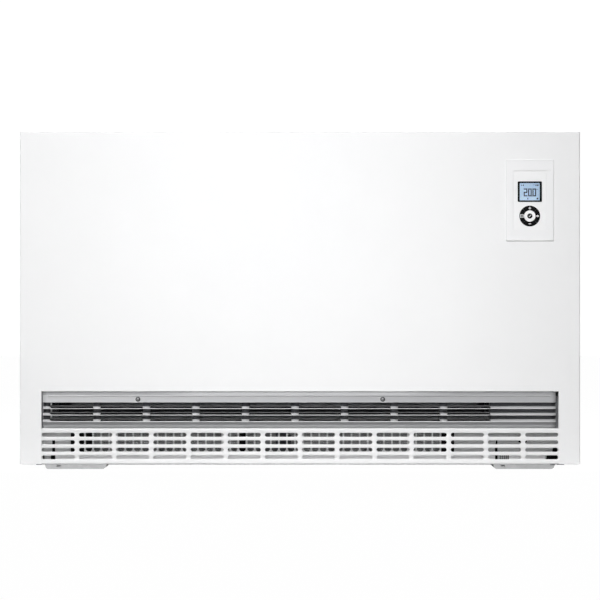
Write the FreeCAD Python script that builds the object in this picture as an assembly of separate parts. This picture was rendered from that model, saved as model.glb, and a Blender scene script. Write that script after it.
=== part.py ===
import FreeCAD, Part
import math
import os

from FreeCAD import Vector

# A fan-assisted storage heater: a white folded-sheet cabinet on two feet around a store of
# heat bricks, with an air path along the bottom and a control unit in the front panel.
# Millimetres, +Z up, the front faces -Y, the origin lies on the floor under the middle.

# Cabinet. The casing hangs clear of the floor, and the legs flank the air openings.
CASE_WIDTH = 1130.0
CASE_HEIGHT = 670.0
CASE_DEPTH = 250.0
FLOOR_GAP = 10.0
CASING_SHEET = 1.0
BEND_RADIUS = 2.5
FRONT_RETURN = 20.0
TOP_RETURN = 20.0
TOP_FOLD = 10.0
SIDE_FLANGE = 14.0
LEG_WIDTH = 43.5
NOTCH_RETURN = 8.0
SEAM = 0.6
FIT = 0.3

# Base tray and the two pressed feet bolted under it.
TRAY_DROP = 2.0
TRAY_SHEET = 1.5
TRAY_FLANGE = 22.0
TRAY_LIP_SETBACK = 13.3
TRAY_LIP_CUTS = [(-540.0, -494.0), (394.5, 423.0), (495.0, 540.0)]
FOOT_WIDTH = 127.0
FOOT_INSET = 115.0
FOOT_SETBACK = 14.0
FOOT_TAPER = 5.5
FOOT_SHEET = 2.0
FOOT_LIP = 16.0
FOOT_SLOT_SHIFT = 38.0
FOOT_SLOT_LENGTH = 10.0
FOOT_SLOT_HEIGHT = 3.4
FLOOR_HOLE_DIAMETER = 9.0
FLOOR_HOLE_INSET = 36.0
FOOT_BOLT_WIDTH = 6.0
FOOT_BOLT_HEAD = 4.0
FOOT_BOLT_INSET = 11.0

# Rear panel: wall-fixing holes near the top, a cable entry low down, stiffening swages.
WALL_HOLE_DIAMETER = 9.0
WALL_HOLE_INSET = 115.0
WALL_HOLE_DROP = 45.0
CABLE_HOLE_DIAMETER = 24.0
CABLE_BORE = 14.0
GROMMET_LIP = 3.0
GROMMET_REACH = 4.0
GROMMET_SIDES = 16
CABLE_INSET = 75.0
CABLE_RISE = 70.0
SWAGE_COUNT = 3
SWAGE_WIDTH = 30.0
SWAGE_DEPTH = 2.5
SCREW_DIAMETER = 4.0
SCREW_HEAD_DIAMETER = 9.0
SCREW_HEAD = 2.0
SCREW_SIDES = 8

# Intake grille: a slotted strip tucked behind the legs, with a fluff filter behind it.
INTAKE_HEIGHT = 72.6
INTAKE_SHEET = 1.2
INTAKE_RETURN = 11.8
INTAKE_TUCK = 11.5
SLOT_LENGTH = 66.5
SLOT_HEIGHT = 8.0
SLOT_PITCH = 75.0
SLOT_ROW_PITCH = 15.1
SLOT_MARGIN = 9.0
FILTER_LEFT_INSET = 85.5
FILTER_RIGHT_INSET = 237.5
FILTER_SHEET = 1.2
FILTER_GAUZE = 0.4
FILTER_WINDOW = 12.0
FILTER_PITCH = 16.25
FILTER_SILL = 24.0
COVER_GAP = 28.0
COVER_SLOT = 6.0

# Outlet grille: a saw-tooth of louvres between two flanges, ribs across the windows.
GRILLE_SETBACK = 1.2
GRILLE_SHEET = 1.6
GRILLE_BOTTOM_FLANGE = 14.7
GRILLE_TOP_FLANGE = 22.8
GRILLE_BEAD_RISE = 11.2
GRILLE_BEAD = [(0.0, 0.0), (0.4, 0.7), (0.4, 1.4), (0.0, 5.2)]
GRILLE_BEAD_END = 12.0
GRILLE_WAIST = 6.8
GRILLE_KICK = 3.9
GRILLE_FOOT = 6.8
LOUVRE_GAPS = 3
LOUVRE_GAP = 10.9
LOUVRE_NOSE = 2.2
LOUVRE_DEPTH = 13.0
LOUVRE_KINK_DEPTH = 9.8
LOUVRE_KINK_RISE = 3.5
RIB_PITCH = 100.0
RIB_WIDTH = 13.5
RIB_FLARE = 1.7
FIRST_WINDOW = 86.25
LEFT_END_FLARE = 4.5
END_REVEAL_LEFT = 2.1
END_REVEAL_RIGHT = 5.1
GRILLE_SCREW_LEFT = 194.5
GRILLE_SCREW_SPACING = 494.0
GRILLE_SCREW_RISE = 6.3

# Heat store: bricks in rows and columns, insulated on six sides, on a steel tray.
BRICK_COLUMNS = 5
BRICK_ROW_PAIRS = 3
BRICK_GAP = 0.4
CORE_GAP = 0.5
LEFT_SPACE = 32.0
SIDE_INSULATION = 36.0
ELECTRICS_WIDTH = 151.0
SHIELD_SETBACK = 12.0
SHIELD_SHEET = 1.0
FRONT_INSULATION = 35.0
REAR_INSULATION = 31.0
REAR_SPACE = 4.0
BASE_INSULATION = 22.0
TOP_INSULATION = 36.0
TOP_SPACE = 14.0
CROSSOVER_GAP = 18.0
CORE_TRAY_RISE = 9.0
CORE_TRAY_SHEET = 2.0
CORE_TRAY_FLANGE = 14.0
CHANNEL_DEPTH = 22.0
CHANNEL_INSET = 32.0
CHANNEL_OFFSET = 39.0
ELEMENT_DIAMETER = 8.5
ELEMENT_SIDES = 16
ELEMENT_LEG_OFFSET = 14.0
ELEMENT_GROOVE = 9.3
ELEMENT_STRAP = 16.0
ELEMENT_TAIL = 26.0
TAB_SHEET = 1.0
SUPPORT_SHEET = 2.0
SUPPORT_FLANGE = 12.0
SUPPORT_INSET = 6.0

# Air handling: a double cross-flow fan with its motor in the middle, a baffle, a flap.
BAFFLE_SHEET = 1.0
BAFFLE_DEPTH = 150.0
BYPASS_HEIGHT = 40.0
BYPASS_RISE = 20.0
FLAP_LAP = 5.0
FLAP_SHEET = 1.2
FLAP_PIN_DIAMETER = 5.0
FLAP_PIN_LENGTH = 5.0
FLAP_END_SPACE = 40.0
FLAP_EAR = 2.0
FAN_DEPTH = 137.0
FAN_CLEARANCE = 8.0
FAN_END_SPACE = 70.0
FAN_PLATE = 1.5
FAN_PLATE_WIDTH = 86.0
GUIDE_SWEEP = 114.0
GUIDE_CLEARANCE = 5.0
GUIDE_SPREAD = 23.0
MOTOR_LENGTH = 96.0
MOTOR_HALF = 26.0
MOTOR_BRACKET = 14.0
ROTOR_GAP = 4.0
ROTOR_DISC = 1.5
ROTOR_BLADES = 14
ROTOR_BLADE_DEPTH = 6.0
ROTOR_BLADE_SHEET = 0.9
ROTOR_BLADE_LEAN = 13.0
SHAFT_DIAMETER = 8.0
BEARING_DIAMETER = 16.0
BEARING_LENGTH = 8.0
BEARING_SIDES = 12
RUNNING_FIT = 0.05

# Electrics in the compartment at the right-hand end.
SWITCH_SHEET = 1.2
SWITCH_DEPTH = 80.0
SWITCH_WIDTH = 112.0
SWITCH_HEIGHT = 330.0
SWITCH_RISE = 20.0
TERMINAL_HEIGHT = 28.0
TERMINAL_DEPTH = 34.0
TERMINAL_WAYS = 5
BOARD_SHEET = 1.6
BOARD_HEIGHT = 130.0
BOARD_STANDOFF = 8.0
RELAY_COUNT = 3
RELAY_HEIGHT = 18.0
LIMITER_HALF = 13.0
LIMITER_DEPTH = 18.0
RESET_RADIUS = 3.0
RESET_PROUD = 4.0
SENSOR_RADIUS = 3.0

# Control unit: a raised bezel, a recessed face with display and round keypad.
BEZEL_WIDTH = 96.0
BEZEL_HEIGHT = 163.3
BEZEL_PROUD = 2.5
BEZEL_OVERLAP = 6.0
BEZEL_INSET = 101.7
BEZEL_DROP = 138.3
BEZEL_WALL = 2.0
BEZEL_DEPTH = 16.0
FACE_WIDTH = 65.7
FACE_HEIGHT = 119.4
FACE_RECESS = 1.2
FACE_BACKING = 1.5
LENS_WIDTH = 48.7
LENS_HEIGHT = 41.3
LENS_RISE = 17.6
LENS_RADIUS = 2.0
LENS_PROUD = 0.2
LCD_THICKNESS = 3.0
LCD_MARGIN = 1.5
KEYPAD_RADIUS = 20.75
KEYPAD_DROP = 31.5
KEY_HOLE_RADIUS = 11.7
KEY_OK_RADIUS = 11.3
KEY_SPLIT = 0.4
KEY_PROUD = 0.6
KEY_OK_PROUD = 0.9
KEY_TRAVEL = 0.8
KEY_DEPTH = 1.3
KEY_MAT = 1.2
CONTROL_CLEARANCE = 0.3

# Levels and planes that follow from the sizes above.
HALF_WIDTH = CASE_WIDTH / 2
HALF_NOTCH = HALF_WIDTH - LEG_WIDTH
FOOT_X = HALF_WIDTH - FOOT_INSET
FOOT_LENGTH = CASE_DEPTH - 2 * FOOT_SETBACK
FRONT_Y = BEZEL_PROUD - (BEZEL_PROUD + CASE_DEPTH) / 2
REAR_Y = FRONT_Y + CASE_DEPTH
BASE_Z = FLOOR_GAP
TOP_Z = BASE_Z + CASE_HEIGHT
TRAY_Z = BASE_Z - TRAY_DROP
TRAY_TOP_Z = TRAY_Z + TRAY_SHEET
OUTLET_Z = BASE_Z + INTAKE_HEIGHT
LOUVRE_PITCH = LOUVRE_GAP + LOUVRE_NOSE
GRILLE_Z = OUTLET_Z + GRILLE_BOTTOM_FLANGE
FLANGE_Z = GRILLE_Z + LOUVRE_GAPS * LOUVRE_PITCH - LOUVRE_NOSE
NOTCH_TOP_Z = FLANGE_Z + GRILLE_TOP_FLANGE
LOUVRE_LEFT_X = SEAM + END_REVEAL_LEFT - HALF_NOTCH
LOUVRE_RIGHT_X = HALF_NOTCH - SEAM - END_REVEAL_RIGHT
CORE_LEFT_X = LEFT_SPACE + SIDE_INSULATION - HALF_WIDTH
CORE_RIGHT_X = HALF_WIDTH - ELECTRICS_WIDTH - SIDE_INSULATION
CORE_WIDTH = CORE_RIGHT_X - CORE_LEFT_X
CORE_MIDDLE_X = (CORE_LEFT_X + CORE_RIGHT_X) / 2
STORE_LEFT_X = CORE_LEFT_X - SIDE_INSULATION
STORE_RIGHT_X = CORE_RIGHT_X + SIDE_INSULATION
STORE_FRONT_Y = FRONT_Y + SHIELD_SETBACK + SHIELD_SHEET
CORE_FRONT_Y = STORE_FRONT_Y + FRONT_INSULATION + CORE_GAP
STORE_REAR_Y = REAR_Y - 2 * CASING_SHEET - REAR_SPACE
CORE_REAR_Y = STORE_REAR_Y - REAR_INSULATION - CORE_GAP
CORE_MIDDLE_Y = (CORE_FRONT_Y + CORE_REAR_Y) / 2
CORE_TRAY_Z = NOTCH_TOP_Z + CORE_TRAY_RISE
STORE_Z = CORE_TRAY_Z + CORE_TRAY_SHEET
CORE_Z = STORE_Z + BASE_INSULATION
STORE_TOP_Z = TOP_Z - CASING_SHEET - TOP_SPACE
ROOF_Z = STORE_TOP_Z - TOP_INSULATION
BRICK_ROWS = 2 * BRICK_ROW_PAIRS
BRICK_PITCH_X = CORE_WIDTH / BRICK_COLUMNS
BRICK_PITCH_Z = (ROOF_Z - CROSSOVER_GAP - CORE_Z) / BRICK_ROWS
SUPPORT_LEFT_X = CORE_LEFT_X - SUPPORT_INSET
SUPPORT_RIGHT_X = CORE_RIGHT_X + SUPPORT_INSET
BAFFLE_Z = OUTLET_Z - SEAM - BAFFLE_SHEET
BAFFLE_Y = FRONT_Y + BAFFLE_DEPTH
FILTER_LEFT_X = FILTER_LEFT_INSET - HALF_NOTCH
FILTER_RIGHT_X = HALF_NOTCH - FILTER_RIGHT_INSET
FILTER_Y = FRONT_Y + TRAY_LIP_SETBACK + TRAY_SHEET + FIT
FAN_Y = FRONT_Y + FAN_DEPTH
FAN_Z = (TRAY_TOP_Z + BAFFLE_Z) / 2
ROTOR_RADIUS = (BAFFLE_Z - TRAY_TOP_Z) / 2 - FAN_CLEARANCE
FAN_LEFT_X = CORE_LEFT_X + FAN_END_SPACE
FAN_RIGHT_X = CORE_RIGHT_X - FAN_END_SPACE
MOTOR_LEFT_X = CORE_MIDDLE_X - MOTOR_LENGTH / 2
MOTOR_RIGHT_X = CORE_MIDDLE_X + MOTOR_LENGTH / 2
SWITCH_X = STORE_RIGHT_X + FIT
SWITCH_FACE_X = SWITCH_X + SWITCH_SHEET
SWITCH_Y = FRONT_Y + SWITCH_DEPTH
SWITCH_Z = STORE_Z + SWITCH_RISE
SWITCH_TOP_Z = SWITCH_Z + SWITCH_HEIGHT
CONTROL_X = HALF_WIDTH - BEZEL_INSET
CONTROL_Z = TOP_Z - BEZEL_DROP
FACE_Y = FRONT_Y - BEZEL_PROUD + FACE_RECESS
LENS_Z = CONTROL_Z + LENS_RISE
KEYPAD_Z = CONTROL_Z - KEYPAD_DROP
KEY_BACK_Y = FRONT_Y + FACE_BACKING + KEY_DEPTH
MAT_Y = KEY_BACK_Y + KEY_TRAVEL + CONTROL_CLEARANCE
BOARD_Y = MAT_Y + KEY_MAT

ALONG_X = Vector(1, 0, 0)
ALONG_Y = Vector(0, 1, 0)
ALONG_Z = Vector(0, 0, 1)


def block(x0, x1, y0, y1, z0, z1):
    return Part.makeBox(x1 - x0, y1 - y0, z1 - z0, Vector(x0, y0, z0))


def rod_x(radius, x0, x1, y, z):
    return Part.makeCylinder(radius, x1 - x0, Vector(x0, y, z), ALONG_X)


def rod_y(radius, x, y0, y1, z):
    return Part.makeCylinder(radius, y1 - y0, Vector(x, y0, z), ALONG_Y)


def rod_z(radius, x, y, z0, z1):
    return Part.makeCylinder(radius, z1 - z0, Vector(x, y, z0), ALONG_Z)


def prism(sides, radius, start, along):
    """A bar with a regular many-sided section, from a start point along a level vector."""
    aside = ALONG_Z.cross(along).normalize()
    points = []
    for step in range(sides):
        turn = 2 * math.pi * (step + 0.5) / sides
        points.append(start + ALONG_Z * (radius * math.cos(turn)) + aside * (radius * math.sin(turn)))
    return polygon_face(points).extrude(along)


def joined(pieces):
    return pieces[0].multiFuse(pieces[1:]).removeSplitter()


def polygon_face(points):
    return Part.Face(Part.makePolygon(points + [points[0]]))


def section_x(x0, x1, outline):
    """A bar along X from a closed outline of (y, z) points."""
    return polygon_face([Vector(x0, y, z) for y, z in outline]).extrude(ALONG_X * (x1 - x0))


def rectangle_wire(x0, x1, y, z0, z1):
    corners = [Vector(x0, y, z0), Vector(x1, y, z0), Vector(x1, y, z1), Vector(x0, y, z1)]
    return Part.makePolygon(corners + [corners[0]])


def oblong(x, z, length, height, y0, y1):
    """A bar along Y, long in X, with its ends bevelled close to a full round."""
    bevel = height * (1 - math.sqrt(0.5))
    outer = length / 2
    flat = outer - bevel
    rise = height / 2
    step = rise - bevel
    outline = [(-flat, -rise), (flat, -rise), (outer, -step), (outer, step),
               (flat, rise), (-flat, rise), (-outer, step), (-outer, -step)]
    return polygon_face([Vector(x + dx, y0, z + dz) for dx, dz in outline]).extrude(ALONG_Y * (y1 - y0))


def rounded_off(solid, radius, keep):
    """Round every edge of a solid that the test keeps."""
    return solid.makeFillet(radius, [edge for edge in solid.Edges if keep(edge)])


def lies_along(edge, axis):
    first = edge.Vertexes[0].Point
    last = edge.Vertexes[-1].Point
    return (last - first).cross(axis).Length < 1e-6


def spread(count, pitch):
    """Offsets of a row of equal steps about its middle."""
    return [(index - (count - 1) / 2) * pitch for index in range(count)]


def front_panel():
    """White face sheet, folded back at the top and both sides, notched for the grilles."""
    rear = FRONT_Y + FRONT_RETURN
    below = BASE_Z - FRONT_RETURN
    outer = block(-HALF_WIDTH, HALF_WIDTH, FRONT_Y, rear, below, TOP_Z)
    outer = rounded_off(outer, BEND_RADIUS, lambda edge: edge.CenterOfMass.y < FRONT_Y + 1e-6)
    face = FRONT_Y + CASING_SHEET
    inner = block(
        CASING_SHEET - HALF_WIDTH, HALF_WIDTH - CASING_SHEET, face, rear,
        below - FRONT_RETURN, TOP_Z - CASING_SHEET)
    inner = rounded_off(inner, BEND_RADIUS - CASING_SHEET, lambda edge: edge.CenterOfMass.y < face + 1e-6)
    panel = outer.cut(inner)
    notch = block(-HALF_NOTCH, HALF_NOTCH, FRONT_Y - 1, rear, below, NOTCH_TOP_Z)
    skirt = block(-CASE_WIDTH, CASE_WIDTH, FRONT_Y - 1, rear + 1, below - 1, BASE_Z)
    panel = panel.cut(notch).cut(skirt).cut(control_cutout())
    fold = FRONT_Y + NOTCH_RETURN
    lip = block(
        -HALF_NOTCH - CASING_SHEET, HALF_NOTCH + CASING_SHEET, FRONT_Y + CASING_SHEET / 2, fold,
        NOTCH_TOP_Z, NOTCH_TOP_Z + CASING_SHEET)
    left_fold = block(
        -HALF_NOTCH - CASING_SHEET, -HALF_NOTCH, FRONT_Y + CASING_SHEET / 2, fold,
        OUTLET_Z, NOTCH_TOP_Z + CASING_SHEET)
    right_fold = left_fold.mirror(Vector(), ALONG_X)
    return joined([panel, lip, left_fold, right_fold])


def control_cutout():
    half_width = BEZEL_WIDTH / 2 - BEZEL_OVERLAP + CONTROL_CLEARANCE
    half_height = BEZEL_HEIGHT / 2 - BEZEL_OVERLAP + CONTROL_CLEARANCE
    return block(
        CONTROL_X - half_width, CONTROL_X + half_width, FRONT_Y - 1, FRONT_Y + FRONT_RETURN / 2,
        CONTROL_Z - half_height, CONTROL_Z + half_height)


def left_side_panel():
    """Channel of white sheet: a side wall with flanges turned in at front and rear."""
    front = FRONT_Y + FRONT_RETURN + SEAM
    top = TOP_Z - TOP_RETURN - SEAM
    inside = SIDE_FLANGE - HALF_WIDTH

    def is_bend(edge):
        return lies_along(edge, ALONG_Z) and edge.CenterOfMass.x < inside - 1e-6

    outer = block(-HALF_WIDTH, inside, front, REAR_Y, BASE_Z, top)
    inner = block(
        CASING_SHEET - HALF_WIDTH, inside, front + CASING_SHEET, REAR_Y - CASING_SHEET, BASE_Z, top)
    inner = rounded_off(inner, BEND_RADIUS - CASING_SHEET, is_bend)
    return rounded_off(outer, BEND_RADIUS, is_bend).cut(inner)


def right_side_panel():
    return left_side_panel().mirror(Vector(), ALONG_X)


def top_panel():
    """White lid folded down at both sides and the rear, with a short hidden fold at the front."""
    front = FRONT_Y + FRONT_RETURN + SEAM
    floor = TOP_Z - TOP_RETURN
    outer = block(-HALF_WIDTH, HALF_WIDTH, front, REAR_Y, floor, TOP_Z)
    outer = rounded_off(outer, BEND_RADIUS, lambda edge: edge.CenterOfMass.z > TOP_Z - 1e-6)
    roof = TOP_Z - CASING_SHEET
    inner = block(
        CASING_SHEET - HALF_WIDTH, HALF_WIDTH - CASING_SHEET, front + CASING_SHEET,
        REAR_Y - CASING_SHEET, floor, roof)
    inner = rounded_off(inner, BEND_RADIUS - CASING_SHEET, lambda edge: edge.CenterOfMass.z > roof - 1e-6)
    relief = HALF_WIDTH - SIDE_FLANGE
    return outer.cut(inner).cut(block(
        -relief, relief, front - 1, front + CASING_SHEET + BEND_RADIUS, floor - 1, TOP_Z - TOP_FOLD))


def rear_panel():
    """Galvanised back sheet inside the rear flanges, with swages, wall holes and a cable entry."""
    half = HALF_WIDTH - BEND_RADIUS - FIT
    inner = REAR_Y - 2 * CASING_SHEET
    outer = REAR_Y - CASING_SHEET
    panel = block(-half, half, inner, outer, BASE_Z, TOP_Z - BEND_RADIUS - FIT)
    reach = CORE_WIDTH - SWAGE_WIDTH
    pitch = (ROOF_Z - CORE_TRAY_Z) / SWAGE_COUNT
    middle = (ROOF_Z + CORE_TRAY_Z) / 2
    for offset in spread(SWAGE_COUNT, pitch):
        z = middle + offset
        panel = panel.fuse(oblong(CORE_MIDDLE_X, z, reach, SWAGE_WIDTH, inner - SWAGE_DEPTH, outer))
        panel = panel.cut(oblong(
            CORE_MIDDLE_X, z, reach - 2 * CASING_SHEET, SWAGE_WIDTH - 2 * CASING_SHEET,
            inner - SWAGE_DEPTH + CASING_SHEET, outer))
    for x in (WALL_HOLE_INSET - HALF_WIDTH, HALF_WIDTH - WALL_HOLE_INSET):
        panel = panel.cut(rod_y(WALL_HOLE_DIAMETER / 2, x, inner - 1, outer + 1, wall_hole_z()))
    panel = panel.cut(rod_y(CABLE_HOLE_DIAMETER / 2, cable_x(), inner - 1, outer + 1, cable_z()))
    return panel.removeSplitter()


def wall_hole_z():
    return TOP_Z - WALL_HOLE_DROP


def cable_x():
    return HALF_WIDTH - CABLE_INSET


def cable_z():
    return BASE_Z + CABLE_RISE


def cable_grommet():
    """Rubber bush in the cable entry, with its lip on the outside of the sheet."""
    inner = REAR_Y - 2 * CASING_SHEET
    outer = REAR_Y - CASING_SHEET
    neck = CABLE_HOLE_DIAMETER / 2 - RUNNING_FIT
    bush = prism(
        GROMMET_SIDES, neck, Vector(cable_x(), inner - GROMMET_REACH, cable_z()),
        ALONG_Y * (outer - inner + GROMMET_REACH))
    bush = bush.fuse(prism(
        GROMMET_SIDES, neck + GROMMET_LIP, Vector(cable_x(), outer, cable_z()), ALONG_Y * (REAR_Y - outer)))
    return bush.cut(rod_y(CABLE_BORE / 2, cable_x(), inner - 2 * GROMMET_REACH, REAR_Y + 1, cable_z()))


def tray_outline(shrink, z0, z1):
    """The base tray's plan: the full width behind the flanges, a narrower tongue in front."""
    half = HALF_WIDTH - CASING_SHEET - FIT - shrink
    tongue = HALF_NOTCH + INTAKE_TUCK - shrink
    shoulder = FRONT_Y + FRONT_RETURN + 2 * SEAM + CASING_SHEET + shrink
    back = REAR_Y - 2 * CASING_SHEET - FIT - shrink
    wide = block(-half, half, shoulder, back, z0, z1)
    return wide.fuse(block(-tongue, tongue, FRONT_Y + TRAY_LIP_SETBACK + shrink, shoulder + 1, z0, z1))


def base_tray():
    """Steel floor pan: flanges all round, the front one cut away in places, holes for the feet."""
    tray = tray_outline(0, TRAY_Z, TRAY_Z + TRAY_FLANGE)
    tray = tray.cut(tray_outline(TRAY_SHEET, TRAY_TOP_Z, TRAY_Z + TRAY_FLANGE + 1)).removeSplitter()
    window = 1.5 * FLOOR_HOLE_DIAMETER
    shank = FOOT_BOLT_WIDTH / 2 + FIT
    cuts = [square_bar(x, y, shank, TRAY_Z - 1, TRAY_TOP_Z + 1) for x, y in foot_bolt_places()]
    cuts += [square_bar(x, y, window, TRAY_Z - 1, TRAY_TOP_Z + 1) for x, y in floor_holes()]
    lip = FRONT_Y + TRAY_LIP_SETBACK
    for x0, x1 in TRAY_LIP_CUTS:
        cuts.append(block(x0, x1, lip - 1, lip + TRAY_SHEET, TRAY_TOP_Z, TRAY_Z + TRAY_FLANGE + 1))
    return tray.cut(cuts)


def square_bar(x, y, half, z0, z1):
    return block(x - half, x + half, y - half, y + half, z0, z1)


def foot_middle_y():
    return FRONT_Y + FOOT_SETBACK + FOOT_LENGTH / 2


def floor_holes():
    reach = FOOT_LENGTH / 2 - FLOOR_HOLE_INSET
    return [(x, foot_middle_y() + side * reach) for x in (-FOOT_X, FOOT_X) for side in (-1, 1)]


def foot_bolt_places():
    reach = FOOT_LENGTH / 2 - FOOT_BOLT_INSET
    return [(x, foot_middle_y() + side * reach) for x in (-FOOT_X, FOOT_X) for side in (-1, 1)]


def tapered_pan(x, inset, z0, z1):
    """A block that narrows downwards, as a loft between two plan rectangles."""
    wires = []
    for z in (z0, z1):
        lean = FOOT_TAPER * (TRAY_Z - z) / TRAY_Z + inset
        half = FOOT_WIDTH / 2 - lean
        near = foot_middle_y() - FOOT_LENGTH / 2 + lean
        far = foot_middle_y() + FOOT_LENGTH / 2 - lean
        corners = [Vector(x - half, near, z), Vector(x + half, near, z),
                   Vector(x + half, far, z), Vector(x - half, far, z)]
        wires.append(Part.makePolygon(corners + [corners[0]]))
    return Part.makeLoft(wires, True, True)


def foot(x):
    """Pressed steel foot: a flared pan whose top lips carry the tray, with floor-fixing holes."""
    pan = tapered_pan(x, 0, 0, TRAY_Z)
    pan = pan.makeChamfer(FOOT_SHEET, [edge for edge in pan.Edges if edge.CenterOfMass.z < 1e-6])
    pan = pan.cut(tapered_pan(x, FOOT_SHEET, FOOT_SHEET, TRAY_Z - FOOT_SHEET))
    half = FOOT_WIDTH / 2 - FOOT_LIP
    front = foot_middle_y() - FOOT_LENGTH / 2
    near = front + FOOT_LIP
    far = foot_middle_y() + FOOT_LENGTH / 2 - FOOT_LIP
    cuts = [block(x - half, x + half, near, far, FOOT_SHEET, TRAY_Z + 1)]
    cuts.append(oblong(
        x - FOOT_SLOT_SHIFT, TRAY_Z / 2, FOOT_SLOT_LENGTH, FOOT_SLOT_HEIGHT, front - 1,
        front + FOOT_TAPER + 2 * FOOT_SHEET))
    for hole_x, hole_y in floor_holes():
        if hole_x * x > 0:
            cuts.append(rod_z(FLOOR_HOLE_DIAMETER / 2, hole_x, hole_y, -1, 2 * FOOT_SHEET))
    for bolt_x, bolt_y in foot_bolt_places():
        if bolt_x * x > 0:
            cuts.append(square_bar(bolt_x, bolt_y, FOOT_BOLT_WIDTH / 2 + FIT, FOOT_SHEET, TRAY_Z + 1))
    return pan.cut(cuts)


def foot_bolts():
    """Square-shank bolts down through the tray and the lips of the feet."""
    bolts = []
    for x, y in foot_bolt_places():
        points = []
        for step in range(6):
            turn = math.radians(60 * step)
            points.append(Vector(
                x + FOOT_BOLT_WIDTH * math.cos(turn), y + FOOT_BOLT_WIDTH * math.sin(turn), TRAY_TOP_Z))
        head = polygon_face(points).extrude(ALONG_Z * FOOT_BOLT_HEAD)
        bolts.append(head.fuse(square_bar(x, y, FOOT_BOLT_WIDTH / 2, TRAY_Z - 2 * FOOT_SHEET, TRAY_TOP_Z)))
    return Part.makeCompound(bolts)


def intake_grille():
    """White strip with rows of slots, folded back at top and bottom, tucked behind the legs."""
    half = HALF_NOTCH + INTAKE_TUCK
    front = FRONT_Y + CASING_SHEET + FIT / 2
    back = front + INTAKE_RETURN
    top = OUTLET_Z - SEAM
    strip = block(-half, half, front, back, BASE_Z, top)
    strip = strip.cut(block(
        -half, half, front + INTAKE_SHEET, back, BASE_Z + INTAKE_SHEET, top - INTAKE_SHEET))
    columns = int((2 * HALF_NOTCH + SLOT_PITCH - SLOT_LENGTH) // SLOT_PITCH)
    rows = 1 + int((INTAKE_HEIGHT - 2 * SLOT_MARGIN - SLOT_HEIGHT) // SLOT_ROW_PITCH)
    middle = (BASE_Z + OUTLET_Z) / 2
    slots = []
    for x in spread(columns, SLOT_PITCH):
        for rise in spread(rows, SLOT_ROW_PITCH):
            slots.append(oblong(
                x, middle + rise, SLOT_LENGTH, SLOT_HEIGHT, front - 1, front + INTAKE_SHEET + 1))
    return strip.cut(slots)


def filter_top_z():
    return BAFFLE_Z - 1.0


def filter_window_levels():
    return BASE_Z + FILTER_SILL + 2, filter_top_z() - 4


def filter_frame():
    """Grey filter frame: a plate with a close row of upright windows, eased at the foot."""
    plate = block(
        FILTER_LEFT_X, FILTER_RIGHT_X, FILTER_Y, FILTER_Y + FILTER_SHEET, TRAY_TOP_Z, filter_top_z())
    low, high = filter_window_levels()
    length = FILTER_RIGHT_X - FILTER_LEFT_X
    middle = (FILTER_LEFT_X + FILTER_RIGHT_X) / 2
    count = int((length - FILTER_PITCH + FILTER_WINDOW) // FILTER_PITCH)
    corner = FILTER_WINDOW / 3
    half = FILTER_WINDOW / 2
    outline = [(corner - half, low), (half - corner, low), (half, low + corner),
               (half, high), (-half, high), (-half, low + corner)]
    cuts = []
    for shift in spread(count, FILTER_PITCH):
        points = [Vector(middle + shift + dx, FILTER_Y - 1, z) for dx, z in outline]
        cuts.append(polygon_face(points).extrude(ALONG_Y * (FILTER_SHEET + 2)))
    return plate.cut(cuts)


def filter_gauze():
    """Fine wire gauze on the back of the filter frame."""
    low, high = filter_window_levels()
    y = FILTER_Y + FILTER_SHEET
    return block(FILTER_LEFT_X + 2, FILTER_RIGHT_X - 2, y, y + FILTER_GAUZE, low - 3, high + 2)


def base_cover(x0, x1, slot_x, slot_top):
    cover = block(x0, x1, FILTER_Y, FILTER_Y + FILTER_SHEET, TRAY_TOP_Z, filter_top_z())
    return cover.cut(block(
        slot_x - COVER_SLOT / 2, slot_x + COVER_SLOT / 2, FILTER_Y - 1, FILTER_Y + FILTER_SHEET + 1,
        TRAY_TOP_Z - 1, slot_top))


def left_base_cover():
    """Galvanised plate that closes the base to the left of the filter, slotted to slide on."""
    x1 = FILTER_LEFT_X - COVER_GAP
    return base_cover(-HALF_NOTCH, x1, SUPPORT_LEFT_X + 4, OUTLET_Z - INTAKE_HEIGHT / 3.5)


def right_base_cover():
    """Galvanised plate that closes the base to the right of the filter, below the electrics."""
    x0 = FILTER_RIGHT_X + COVER_GAP
    return base_cover(x0, HALF_NOTCH, SUPPORT_RIGHT_X + 13, BASE_Z + INTAKE_HEIGHT / 3)


def louvre_levels():
    """Bottom and top of each louvre gap, from the bottom flange upwards."""
    lows = [GRILLE_Z + index * LOUVRE_PITCH for index in range(LOUVRE_GAPS)]
    return [(low, low + LOUVRE_GAP) for low in lows]


def louvre_web(x0, x1, flare_left, flare_right, low, high):
    """Web that closes one louvre gap: a lip that runs back from the nose, kinked up to the return."""
    front = FRONT_Y + GRILLE_SETBACK
    kink = low + LOUVRE_KINK_RISE
    left = x0 - flare_left
    right = x1 + flare_right
    return Part.makeLoft([
        rectangle_wire(x0, x1, front, low - 0.9, low + 0.7),
        rectangle_wire(left, right, front + LOUVRE_KINK_DEPTH, kink - 0.9, kink + 0.7),
        rectangle_wire(left, right, front + LOUVRE_DEPTH, high - 0.9, high + 0.7)], True, True)


def rib_places():
    """Middles of the ribs between the first window's end and the closed right-hand end."""
    first = SUPPORT_LEFT_X + FIRST_WINDOW + RIB_WIDTH / 2
    count = int((SUPPORT_RIGHT_X - first) // RIB_PITCH) + 1
    return [first + index * RIB_PITCH for index in range(count)]


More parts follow.
